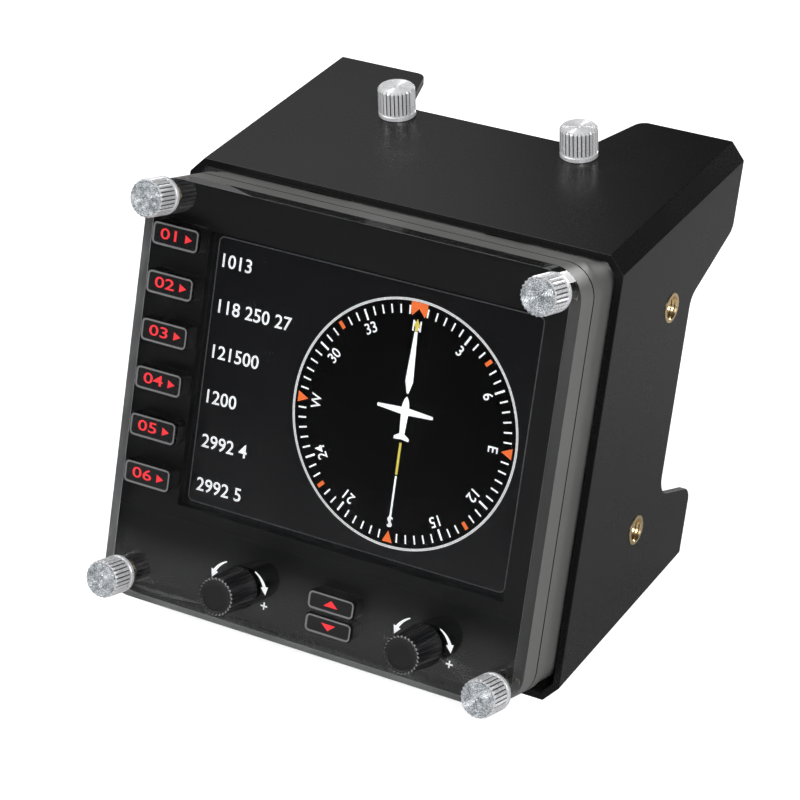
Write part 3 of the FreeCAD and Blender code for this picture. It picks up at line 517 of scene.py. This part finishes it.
def settle(piece, finish, body, stands_for=(), axes=PANEL, smooth=50):
    """Weld the piece, point its faces outwards, stand it in the frame and give it finish and body."""
    if piece.mode != "EDIT":
        take_up(piece)
        bpy.ops.object.mode_set(mode="EDIT")
    bpy.ops.mesh.select_all(action="SELECT")
    bpy.ops.mesh.remove_doubles(threshold=1e-7)
    bpy.ops.mesh.normals_make_consistent(inside=False)
    take_up(piece)
    piece.matrix_world = axes
    bpy.ops.object.transform_apply(location=True, rotation=True, scale=True)
    bpy.ops.object.shade_smooth_by_angle(angle=math.radians(smooth))
    modifier = piece.modifiers.new("Flat faces", "WEIGHTED_NORMAL")
    modifier.weight = 100
    modifier.keep_sharp = True
    bpy.ops.object.modifier_apply(modifier=modifier.name)
    piece.data.materials.clear()
    piece.data.materials.append(finishes[finish])
    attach(piece, body)
    if stands_for:
        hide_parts(*stands_for)


def cut_out(piece, cutter):
    """Take a closed cutter out of a piece."""
    take_up(piece)
    modifier = piece.modifiers.new("Cut", "BOOLEAN")
    modifier.operation = "DIFFERENCE"
    modifier.solver = "EXACT"
    modifier.object = cutter
    bpy.ops.object.modifier_apply(modifier=modifier.name)
    bpy.data.objects.remove(cutter)


def ease(piece, width, segments=2, angle=32):
    """Round all sharp edges of a piece."""
    take_up(piece)
    modifier = piece.modifiers.new("Ease", "BEVEL")
    modifier.width = width
    modifier.segments = segments
    modifier.limit_method = "ANGLE"
    modifier.angle_limit = math.radians(angle)
    bpy.ops.object.modifier_apply(modifier=modifier.name)


def welded_copy(node, name):
    """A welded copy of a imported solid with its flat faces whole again."""
    take_up(frame["nodes"][node])
    bpy.ops.object.duplicate()
    piece = bpy.context.object
    bpy.ops.object.parent_clear(type="CLEAR_KEEP_TRANSFORM")
    for key in [key for key in piece.keys() if key.startswith("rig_")]:
        del piece[key]
    piece.name = name
    piece.data.name = name
    bpy.ops.object.mode_set(mode="EDIT")
    bpy.ops.mesh.select_all(action="SELECT")
    bpy.ops.mesh.remove_doubles(threshold=1e-6)
    bpy.ops.mesh.customdata_custom_splitnormals_clear()
    bpy.ops.mesh.select_all(action="SELECT")
    bpy.ops.mesh.dissolve_limited(angle_limit=math.radians(1.5))
    return piece


def on_rim(low, high, corner, depth=0.4 * MM):
    """A test for points that lie round the outside of a rounded panel piece."""
    centre = (low + high) / 2

    def test(point):
        reach_x = abs(point.x - centre.x) - (high.x - low.x) / 2 + corner
        reach_y = abs(point.y - centre.y) - (high.y - low.y) / 2 + corner
        return Vector((max(reach_x, 0), max(reach_y, 0))).length > corner - depth

    return test


def paint_faces(piece, finish, axes, test):
    """Give the faces whose place and normal, seen along some axes, pass a test their own finish."""
    piece.data.materials.append(finishes[finish])
    take_up(piece)
    bpy.ops.object.mode_set(mode="EDIT")
    inverse = axes.inverted()
    turn = inverse.to_3x3()
    pick(piece, "faces", lambda face: test(inverse @ middle(face), turn @ face.normal))
    piece.active_material_index = len(piece.data.materials) - 1
    bpy.ops.object.material_slot_assign()
    close_edit()


def seam(piece, test, level, width, depth):
    """Press a parting line into the sides of a panel piece."""
    take_up(piece)
    bpy.ops.object.mode_set(mode="EDIT")
    for side in (-0.5, 0.5):
        bpy.ops.mesh.select_all(action="SELECT")
        bpy.ops.mesh.bisect(plane_co=PANEL @ Vector((0, 0, level + side * width)), plane_no=OUT)
    inverse = PANEL.inverted()

    def in_seam(face):
        point = inverse @ middle(face)
        return abs(point.z - level) < width / 2 and test(point) and abs(face.normal.dot(OUT)) < 0.3

    pick(piece, "faces", in_seam)
    bpy.ops.mesh.extrude_region_shrink_fatten(TRANSFORM_OT_shrink_fatten={"value": -depth})
    close_edit()


def dress(nodes, finish):
    """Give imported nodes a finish."""
    for node in nodes:
        piece = frame["nodes"][node]
        if not piece.material_slots:
            piece.data.materials.append(None)
        for spot in piece.material_slots:
            spot.material = finishes[finish]


def at(x, y, z):
    """The panel's axes moved to a point on the panel."""
    return PANEL @ Matrix.Translation((x, y, z))


# --- the pieces -------------------------------------------------------------------------------

class FLIGHT_OT_finishes(bpy.types.Operator):
    """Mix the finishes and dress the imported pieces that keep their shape"""

    bl_idname = "flight.finishes"
    bl_label = "Finishes"

    def execute(self, context):
        mix_finishes(context.scene.flight_colours)
        dress(["window_gasket", "screen_pads"], "foam")
        dress(["screen_glass"], "screen_glass")
        dress(["backlight"], "diffuser")
        dress(["screen_ribbon"], "film_amber")
        dress(["ribbon_connector", "encoder_left", "encoder_right"], "cream")
        dress(["main_board"], "board_green")
        dress(["board_chips", "key_switches"], "chip")
        dress(["key_lamps"], "lamp_red")
        dress(["shaft_left", "shaft_right"], "aluminium")
        dress(["plate_inserts", "stack_inserts"], "brass")
        return {"FINISHED"}


class FLIGHT_OT_bracket(bpy.types.Operator):
    """Finish the folded box bracket"""

    bl_idname = "flight.bracket"
    bl_label = "Bracket"

    def execute(self, context):
        piece = welded_copy("bracket", "bracket_shell")
        ease(piece, context.scene.flight_sizes.sheet_ease)
        settle(piece, "bracket_satin", "case", ["bracket"], ROW)
        return {"FINISHED"}


class FLIGHT_OT_shells(bpy.types.Operator):
    """Finish the moulded fascia and the rear housing, their screws and the lead's socket"""

    bl_idname = "flight.shells"
    bl_label = "Shells"

    def execute(self, context):
        sizes = context.scene.flight_sizes
        shells = (("fascia", "fascia_satin", "fascia_black", sizes.shell_ease),
                  ("rear_housing", "housing_satin", "housing_black", sizes.shell_ease),
                  ("case_screws", "zinc", "screw_steel", 0.15 * MM),
                  ("data_socket", "socket_steel", "socket_steel", 0.06 * MM))
        for node, finish, slot, width in shells:
            piece = welded_copy(node, node + "_finished")
            ease(piece, width)
            outside = on_rim(*panel_box(node), sizes.plate_corner, 1.2 * MM)
            if node == "fascia":
                seam(piece, outside, SEAM_LEVEL, SEAM_WIDTH, SEAM_DEPTH)
            settle(piece, finish, "case", [node], ROW)
            if node in ("fascia", "rear_housing"):
                inside = on_rim(*panel_box(node), sizes.plate_corner, 0.1 * MM)
                # Painted light: the sides of the black fascia and housing get the grey finish.
                paint_faces(piece, "shell_side", PANEL,
                            lambda point, normal: inside(point) and abs(normal.z) < 0.5)
        return {"FINISHED"}


class FLIGHT_OT_front_plate(bpy.types.Operator):
    """Cut the clear plate and print the turning arrows on it"""

    bl_idname = "flight.front_plate"
    bl_label = "Front plate"

    def execute(self, context):
        sizes = context.scene.flight_sizes
        low, high = panel_box("front_plate")
        piece = block("clear_plate", low, high)
        round_upright(piece, sizes.plate_corner, 16)
        close_edit()
        below, above = low.z - MM, high.z + MM
        for node in ["thumbscrew_%d" % number for number in range(1, 5)] + ["knob_left", "knob_right"]:
            start, end = panel_box(node)
            centre = (start + end) / 2
            radius = KNOB_HOLE if node.startswith("knob") else SCREW_HOLE
            cutter = begin("cutter", bpy.ops.mesh.primitive_cylinder_add, vertices=64, radius=radius,
                           depth=above - below, location=(centre.x, centre.y, (above + below) / 2))
            close_edit()
            cut_out(piece, cutter)
        gap = Vector((sizes.key_gap, sizes.key_gap, 0))
        for node in SOFT_KEYS + PAGE_KEYS:
            start, end = panel_box(node)
            start.z, end.z = below, above
            cutter = block("cutter", start - gap, end + gap)
            round_upright(cutter, sizes.key_corner + sizes.key_gap / 2, 6)
            close_edit()
            cut_out(piece, cutter)
        ease(piece, sizes.plate_ease)
        settle(piece, "clear_plate", "case", ["front_plate"])
        rim = on_rim(low, high, sizes.plate_corner)
        # Painted reflection and glow: the plate's left and lower edge faces get the whitish glowing finish.
        paint_faces(piece, "plate_edge", PANEL,
                    lambda point, normal: rim(point) and abs(normal.z) < 0.3 and normal.x + normal.y < -0.5)
        paint_faces(piece, "fascia_satin", PANEL,
                    lambda point, normal: not rim(point) and abs(normal.z) < 0.3)
        # Painted highlight: the chamfers round the plate get the white finish.
        paint_faces(piece, "plate_line", PANEL,
                    lambda point, normal: rim(point) and 0.3 < normal.z < 0.98)
        for side in ("left", "right"):
            start, end = panel_box("knob_" + side)
            centre = (start + end) / 2
            outlines = []
            for tail, head, first, last in ((5.67, 6.5, 130.7, 163.0), (4.97, 5.65, 53.6, 15.0)):
                outlines += arrow(tail * MM, head * MM, math.radians(first), math.radians(last))
            plus = Vector((5.9 * MM, -2.3 * MM))
            for wide, tall in ((0.75, 0.16), (0.16, 0.75)):
                outlines.append([(plus.x + sign_x * wide * MM, plus.y + sign_y * tall * MM)
                                 for sign_x, sign_y in ((-1, -1), (1, -1), (1, 1), (-1, 1))])
            marks = drawn("turning_arrows_" + side, outlines, 0, sizes.print_lift)
            # The printed arrows take the white print finish with its painted glow.
            settle(marks, "print_white", "case", axes=at(centre.x, centre.y, high.z))
        return {"FINISHED"}


def arrow(first_radius, last_radius, first_turn, last_turn):
    """A curved arrow about the origin: a band that ends in a triangle."""
    width, head, steps = 0.36 * MM, 0.85 * MM, 12
    inner, outer = [], []
    for step in range(steps + 1):
        share = step / steps
        radius = first_radius + (last_radius - first_radius) * share
        turn = first_turn + (last_turn - first_turn) * share
        ray = Vector((math.cos(turn), math.sin(turn)))
        taper = width * (0.35 + 0.65 * share)
        inner.append(tuple(ray * (radius - taper)))
        outer.append(tuple(ray * (radius + taper)))
    along = Vector((-ray.y, ray.x)) * (1 if last_turn > first_turn else -1)
    tip = ray * radius + along * head * 1.9
    band = inner + outer[::-1]
    point = [tuple(ray * (radius - head)), tuple(ray * (radius + head)), tuple(tip)]
    return [band, point]


class FLIGHT_OT_screen_page(bpy.types.Operator):
    """Draw the compass page on the screen"""

    bl_idname = "flight.screen_page"
    bl_label = "Screen page"

    def execute(self, context):
        low, high = panel_box("screen_glass")
        middle_x, middle_y = (low.x + high.x) / 2, (low.y + high.y) / 2
        lift = high.z + PAGE_LAYER
        half_x, half_y = SCREEN_OPENING[0] / 2, SCREEN_OPENING[1] / 2

        def page(name, outlines, level, finish):
            piece = drawn(name, outlines, lift + level * PAGE_LAYER, PAGE_LAYER * 0.8)
            settle(piece, finish, "case")

        def rounded(x, y, wide, tall, corner):
            points, steps = [], 6
            for quarter, (sign_x, sign_y) in enumerate(((1, 1), (-1, 1), (-1, -1), (1, -1))):
                for step in range(steps + 1):
                    turn = math.radians(90 * (quarter + step / steps))
                    points.append((x + sign_x * (wide - corner) + corner * math.cos(turn),
                                   y + sign_y * (tall - corner) + corner * math.sin(turn)))
            return points

        rim = rounded(middle_x, middle_y, half_x, half_y, PAGE_CORNER)
        page("page_ground", [rim], 0, "screen_glass")
        inner = rounded(middle_x, middle_y, half_x - PAGE_LINE, half_y - PAGE_LINE, 1.0 * MM)
        strips = [[rim[index], rim[(index + 1) % len(rim)], inner[(index + 1) % len(rim)], inner[index]]
                  for index in range(len(rim))]
        page("page_frame", strips, 1, "page_grey")
        centre = Vector(DIAL_CENTRE)

        def ring(radius, turn):
            return (centre.x + radius * MM * math.sin(turn), centre.y + radius * MM * math.cos(turn))

        circle = [ring(DIAL_GROUND, math.radians(step * 3)) for step in range(120)]
        page("dial_ground", [circle], 1, "dial_glass")
        strips = []
        for step in range(120):
            first, last = math.radians(step * 3), math.radians(step * 3 + 3)
            strips.append([ring(DIAL_RADIUS, first), ring(DIAL_RADIUS, last),
                           ring(DIAL_RADIUS + DIAL_RIM, last), ring(DIAL_RADIUS + DIAL_RIM, first)])
        page("dial_rim", strips, 2, "page_white")

        def spoke(degrees, start, end, wide):
            turn = math.radians(degrees)
            side = Vector((math.cos(turn), -math.sin(turn))) * wide * MM / 2
            first, last = Vector(ring(start, turn)), Vector(ring(end, turn))
            return [tuple(first - side), tuple(first + side), tuple(last + side), tuple(last - side)]

        ticks, marks = [], []
        for degrees in range(0, 360, 5):
            if degrees % 90 == 45:
                marks.append(spoke(degrees, 21.9, 23.5, 0.75))
            elif degrees % 90 == 0:
                continue
            else:
                start, wide = (21.1, 0.42) if degrees % 30 == 0 else (21.6, 0.32)
                ticks.append(spoke(degrees, start, TICK_END, wide))
        page("dial_ticks", ticks, 2, "page_white")
        for degrees in (90, 180, 270):
            turn = math.radians(degrees)
            side = Vector((math.cos(turn), -math.sin(turn))) * 1.1 * MM
            outer = Vector(ring(23.6, turn))
            marks.append([tuple(outer - side), tuple(outer + side), ring(21.3, turn)])
        bug = [(-1.8, 24.1), (1.8, 24.1), (1.8, 22.2), (1.35, 21.4), (0.0, 22.9), (-1.35, 21.4),
               (-1.8, 22.2)]
        marks.append([(centre.x + x * MM, centre.y + y * MM) for x, y in bug])
        page("dial_marks", marks, 3, "page_orange")
        words = []
        for index, text in enumerate(["N", "3", "6", "E", "12", "15", "S", "21", "24", "W", "30", "33"]):
            turn = math.radians(30 * index)
            x, y = ring(NUMBER_RADIUS, turn)
            words.append((text, x, y, 2.1 * MM, -turn, 0.95))
        numbers = written("dial_numbers", words, lift + 2 * PAGE_LAYER, PAGE_LAYER)
        settle(numbers, "page_white", "case")

        def about(points):
            return [(centre.x + x * MM, centre.y + y * MM) for x, y in points]

        needle = about([(-0.2, 6.2), (0.2, 6.2), (0.85, 8.6), (0.32, 18.4), (-0.32, 18.4), (-0.85, 8.6)])
        tail = about([(-0.2, -20.2), (0.2, -20.2), (0.2, -10.3), (-0.2, -10.3)])
        page("needle", [needle, tail], 4, "page_white")
        head = about([(-0.32, 18.5), (0.32, 18.5), (0.32, 19.4), (0.75, 19.4), (0.0, 20.9), (-0.75, 19.4),
                      (-0.32, 19.4)])
        stem = about([(-0.25, -10.0), (0.25, -10.0), (0.25, -3.6), (-0.25, -3.6)])
        page("needle_gold", [head, stem], 4, "page_yellow")
        body = [(0, 5.64), (0.45, 5.0), (0.75, 4.0), (0.8, 3.4), (6.1, 3.0), (6.1, 2.4), (0.8, 2.0),
                (0.55, -1.8), (1.65, -2.5), (1.65, -3.1), (0.0, -2.9)]
        shape = body + [(-x, y) for x, y in body[1:-1]][::-1]
        page("aircraft", [about(shape)], 5, "page_white")
        words = [(text, (MENU_LEFT + wide / 2) * MM, (level + MENU_RISE) * MM, 2.7 * MM, 0, 1.0)
                 for level, wide, text in MENU]
        numbers = written("menu_numbers", words, lift + 2 * PAGE_LAYER, PAGE_LAYER)
        settle(numbers, "page_white", "case")
        return {"FINISHED"}


class FLIGHT_OT_keys(bpy.types.Operator):
    """Model the eight keys with their legends"""

    bl_idname = "flight.keys"
    bl_label = "Keys"

    def execute(self, context):
        sizes = context.scene.flight_sizes
        for index, node in enumerate(SOFT_KEYS + PAGE_KEYS):
            low, high = panel_box(node)
            centre = (low + high) / 2
            depth = low.z
            low.z = sizes.key_foot
            piece = block(node + "_cap", low, high)
            round_upright(piece, sizes.key_corner, 6)
            pick(piece, "faces", lambda face: face.normal.z > 0.9)
            bpy.ops.mesh.inset(thickness=KEY_RIM, depth=0)
            bpy.ops.transform.translate(value=(0, 0, -KEY_HOLLOW))
            pick(piece, "faces", lambda face: face.normal.z < -0.9)
            bpy.ops.mesh.inset(thickness=KEY_WALL, depth=0)
            bottom = (centre.x, centre.y, low.z)
            wide, tall = high.x - low.x - 2 * KEY_WALL, high.y - low.y - 2 * KEY_WALL
            bpy.ops.transform.resize(value=(STEM_WIDE / wide, STEM_TALL / tall, 1), center_override=bottom)
            raise_up(STEM_ROOT - low.z)
            bpy.ops.transform.resize(value=(STEM_PIN / STEM_WIDE, STEM_PIN / STEM_TALL, 1),
                                     center_override=(centre.x, centre.y, STEM_ROOT))
            raise_up(depth - STEM_ROOT)
            close_edit()
            ease(piece, 0.2 * MM, 3, 40)
            settle(piece, "key_gloss", node, [node])
            # Painted highlight: the bevel round each cap's face gets the light grey finish.
            paint_faces(piece, "key_edge", PANEL,
                        lambda point, normal: point.z > 4.6 * MM and 0.2 < normal.z < 0.985)
            face_z = high.z - KEY_HOLLOW
            if node in SOFT_KEYS:
                legend = written(node + "_number", [("0%d" % (index + 1), 0, 0, 2.15 * MM, 0, 1.55)], 0,
                                 sizes.print_lift)
                place = at(centre.x - 1.2 * MM, centre.y, face_z)
                settle(legend, "legend_red", node, axes=place)
                outlines = [[(2.3 * MM, -0.85 * MM), (3.9 * MM, 0), (2.3 * MM, 0.85 * MM)]]
            else:
                way = MM if node == "page_key_up" else -MM
                outlines = [[(-1.6 * MM, -0.6 * way), (1.6 * MM, -0.6 * way), (0, 0.75 * way)]]
            pointer = drawn(node + "_pointer", outlines, 0, sizes.print_lift)
            settle(pointer, "legend_red", node, axes=at(centre.x, centre.y, face_z))
        return {"FINISHED"}


class FLIGHT_OT_knobs(bpy.types.Operator):
    """Turn the two ribbed knobs"""

    bl_idname = "flight.knobs"
    bl_label = "Knobs"

    def execute(self, context):
        ribs = context.scene.flight_sizes.knob_ribs
        for side in ("left", "right"):
            node = "knob_" + side
            low, high = panel_box(node)
            centre = (low + high) / 2
            base = (high.x - low.x) / 2 - 0.02 * MM
            tall = high.z - low.z
            front = base - 0.5 * MM
            profile = [(3.0 * MM, tall - 1.8 * MM), (3.0 * MM, 0), (base - 0.2 * MM, 0), (base, 0.2 * MM),
                       (base - 0.03 * MM, 0.9 * MM), (front + 0.03 * MM, tall - 0.5 * MM),
                       (front - 0.12 * MM, tall - 0.2 * MM), (front - 0.45 * MM, tall),
                       (front - 0.62 * MM, tall), (front - 0.8 * MM, tall - 0.18 * MM),
                       (front - 1.6 * MM, tall - 0.2 * MM), (0.6 * MM, tall - 0.14 * MM)]
            piece = turned(node + "_grip", profile, 4 * ribs)
            rib(piece, ribs, 0.5 * MM, tall - 0.1 * MM, 0.3 * MM)
            place = at(centre.x, centre.y, low.z)
            settle(piece, "knob_satin", "dial_" + side, [node], place, 28)
            # Painted highlight: the knob's front rim gets the light grey finish.
            paint_faces(piece, "knob_rim", place, lambda point, normal: normal.z < 0.95
                        and tall - 0.48 * MM < point.z and point.xy.length > front - 0.25 * MM)
        return {"FINISHED"}


def thumbscrew(name, tip, head_low, head_high, bore, radius, ribs):
    """A thumbscrew along z: threaded shank, straight ribs and a turned face."""
    shank = bore - 0.02 * MM
    profile = [(shank * 0.72, tip), (shank, tip + 0.35 * MM)]
    turn = tip + 0.6 * MM
    while turn < head_low - 1.3 * MM:
        profile += [(shank, turn), (shank * 0.86, turn + 0.25 * MM)]
        turn += 0.5 * MM
    profile += [(shank, turn), (shank, head_low), (radius - 0.2 * MM, head_low),
                (radius, head_low + 0.2 * MM), (radius, head_high - 0.4 * MM),
                (radius - 0.35 * MM, head_high)]
    for ring in (0.55, 0.85, 1.15, 1.45, 1.75, 2.05, 2.35, 2.65, 2.95):
        profile += [(radius - ring * MM, head_high), (radius - (ring + 0.1) * MM, head_high - 0.07 * MM),
                    (radius - (ring + 0.2) * MM, head_high - 0.07 * MM)]
    profile += [(0.5 * MM, head_high - 0.07 * MM), (0.15 * MM, head_high - 0.3 * MM)]
    piece = turned(name, profile, 4 * ribs)
    rib(piece, ribs, head_low + 0.1 * MM, head_high - 0.2 * MM, 0.28 * MM)
    return piece


class FLIGHT_OT_thumbscrews(bpy.types.Operator):
    """Turn the thumbscrews and the smooth rings under them"""

    bl_idname = "flight.thumbscrews"
    bl_label = "Thumbscrews"

    def execute(self, context):
        ribs = context.scene.flight_sizes.screw_ribs
        sets = [("thumbscrew_%d" % number, "washer_%d" % number, True) for number in range(1, 5)]
        sets += [("stack_thumbscrew_" + side, "stack_washer_" + side, False) for side in ("left", "right")]
        for screw, ring, on_panel in sets:
            low, high = panel_box(screw) if on_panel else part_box(screw)
            ring_low, ring_high = panel_box(ring) if on_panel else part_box(ring)
            axes = PANEL if on_panel else ROW
            centre = (ring_low + ring_high) / 2
            radius = (ring_high.x - ring_low.x) / 2
            bore = PANEL_SCREW if on_panel else STACK_SCREW
            place = axes @ Matrix.Translation((centre.x, centre.y, 0))
            piece = thumbscrew(screw + "_turned", low.z, ring_high.z, high.z, bore, radius, ribs)
            settle(piece, "nickel", screw + "_body", [screw], place, 25)
            floor, top = radius - 0.2 * MM, high.z - 0.5 * MM
            # Painted shade: the groove floors between the ribs get the near-black finish.
            paint_faces(piece, "nickel_groove", place, lambda point, normal: abs(normal.z) < 0.3
                        and ring_high.z < point.z < top and 0.6 * floor < point.xy.length < floor)
            if on_panel:
                paint_faces(piece, "nickel_face", place, lambda point, normal: point.z > top
                            and normal.z > 0.6 and point.xy.length < floor)
            inner = bore + 0.05 * MM
            start, end = ring_low.z, ring_high.z
            cut = 0.14 * MM
            profile = [(inner, start), (radius - cut, start), (radius, start + cut), (radius, end - cut),
                       (radius - cut, end), (inner, end), (inner, start)]
            piece = turned(ring + "_turned", profile, 96)
            settle(piece, "nickel", ring + "_body", [ring], place, 25)
        return {"FINISHED"}


class FLIGHT_OT_inserts(bpy.types.Operator):
    """Turn the brass inserts in the bracket's side walls"""

    bl_idname = "flight.inserts"
    bl_label = "Side inserts"

    def execute(self, context):
        mounts = [mount for mount in frame["record"]["mounts"] if mount["name"].startswith("side_hole")]
        for mount in mounts:
            length = mount["dims"]["length_mm"] * MM
            bore = mount["dims"]["r_mm"] * MM
            outer = bore + 0.52 * MM
            half = length / 2
            profile = [(outer, -half), (outer, half - 0.1 * MM), (outer + 0.45 * MM, half),
                       (outer + 0.45 * MM, half + 0.1 * MM), (outer + 0.3 * MM, half + 0.18 * MM),
                       (bore + 0.3 * MM, half + 0.18 * MM)]
            level = half
            while level > -half + 0.4 * MM:
                profile += [(bore, level - 0.18 * MM), (bore + 0.22 * MM, level - 0.53 * MM)]
                level -= 0.7 * MM
            profile += [(bore + 0.1 * MM, -half), (outer, -half)]
            piece = turned(mount["name"].replace("side_hole_", "side_insert_"), profile, 72)
            axis = Vector(mount["axis"])
            turn = axis.to_track_quat("Z", "Y").to_matrix().to_4x4()
            place = Matrix.Translation(Vector(mount["pos_m"])) @ turn
            settle(piece, "brass", "case", ["side_inserts"], place, 30)
        return {"FINISHED"}


class FLIGHT_OT_stage(bpy.types.Operator):
    """Lay the pale floor, hang the lamps and stand the camera"""

    bl_idname = "flight.stage"
    bl_label = "Stage"

    def execute(self, context):
        scene = context.scene
        floor = begin("pale_floor", bpy.ops.mesh.primitive_plane_add, size=6, location=(0, 0, 0))
        bpy.ops.mesh.select_all(action="SELECT")
        bpy.ops.mesh.subdivide(number_cuts=3)
        close_edit()
        paint = new_paint("floor_white")
        fine = paint.noise(paint.place(), 40, 2)
        tone = paint.mix(fine, (0.66, 0.66, 0.66, 1), (0.7, 0.7, 0.7, 1))
        matt = paint.node("ShaderNodeBsdfDiffuse", {"Color": tone})
        seen = paint.node("ShaderNodeLightPath", output="Is Camera Ray")
        seen = seen + paint.node("ShaderNodeLightPath", output="Is Transmission Ray")
        glow = paint.node("ShaderNodeEmission", {"Color": (1, 1, 1, 1), "Strength": 0.88})
        both = paint.node("ShaderNodeAddShader", {0: matt, 1: glow})
        surface = paint.node("ShaderNodeMixShader", {0: seen, 1: matt, 2: both})
        paint.node("ShaderNodeOutputMaterial", {"Surface": surface})
        floor.data.materials.append(finishes["floor_white"])
        world = bpy.data.worlds.new("studio")
        scene.world = world
        paint = Paint(world)
        seen = paint.node("ShaderNodeLightPath", output="Is Camera Ray")
        white = paint.node("ShaderNodeBackground", {"Color": (1, 1, 1, 1), "Strength": 1.0})
        soft = paint.node("ShaderNodeBackground", {"Color": (1, 1, 1, 1), "Strength": 0.025})
        sky = paint.node("ShaderNodeMixShader", {0: seen, 1: soft, 2: white})
        paint.node("ShaderNodeOutputWorld", {"Surface": sky})
        for name, place, size, power in LAMPS:
            close_edit()
            bpy.ops.object.light_add(type="AREA", location=place)
            lamp = bpy.context.object
            lamp.name = name
            lamp.data.size = size
            lamp.data.energy = power
            aim = Vector(LAMP_TARGET) - Vector(place)
            lamp.rotation_euler = aim.to_track_quat("-Z", "Y").to_euler()
        close_edit()
        bpy.ops.object.camera_add(location=CAMERA_PLACE,
                                  rotation=[math.radians(turn) for turn in CAMERA_TURN])
        camera = bpy.context.object
        camera.data.lens = CAMERA_LENS
        camera.data.sensor_width = 36
        camera.data.clip_start = 0.01
        scene.camera = camera
        scene.view_settings.view_transform = "Standard"
        return {"FINISHED"}


MAKERS = (FLIGHT_OT_finishes, FLIGHT_OT_bracket, FLIGHT_OT_shells, FLIGHT_OT_front_plate,
          FLIGHT_OT_screen_page, FLIGHT_OT_keys, FLIGHT_OT_knobs, FLIGHT_OT_thumbscrews, FLIGHT_OT_inserts,
          FLIGHT_OT_stage)


class FLIGHT_PT_maker(bpy.types.Panel):
    """Lists the makers in the order in which they run"""

    bl_idname = "FLIGHT_PT_maker"
    bl_label = "Flight display"
    bl_space_type = "VIEW_3D"
    bl_region_type = "UI"
    bl_category = "Flight display"

    def draw(self, context):
        for maker in MAKERS:
            self.layout.operator(maker.bl_idname)
        for group in (context.scene.flight_sizes, context.scene.flight_colours):
            for name in group.bl_rna.properties.keys():
                if name not in ("rna_type", "name"):
                    self.layout.prop(group, name)


CLASSES = (DisplaySizes, DisplayColours, *MAKERS, FLIGHT_PT_maker)


def register():
    for item in CLASSES:
        bpy.utils.register_class(item)
    bpy.types.Scene.flight_sizes = PointerProperty(type=DisplaySizes)
    bpy.types.Scene.flight_colours = PointerProperty(type=DisplayColours)


def unregister():
    del bpy.types.Scene.flight_colours
    del bpy.types.Scene.flight_sizes
    for item in reversed(CLASSES):
        bpy.utils.unregister_class(item)


def main():
    register()
    bpy.ops.flight.finishes()
    bpy.ops.flight.bracket()
    bpy.ops.flight.shells()
    bpy.ops.flight.front_plate()
    bpy.ops.flight.screen_page()
    bpy.ops.flight.keys()
    bpy.ops.flight.knobs()
    bpy.ops.flight.thumbscrews()
    bpy.ops.flight.inserts()
    bpy.ops.flight.stage()


if __name__ == "__main__":
    main()
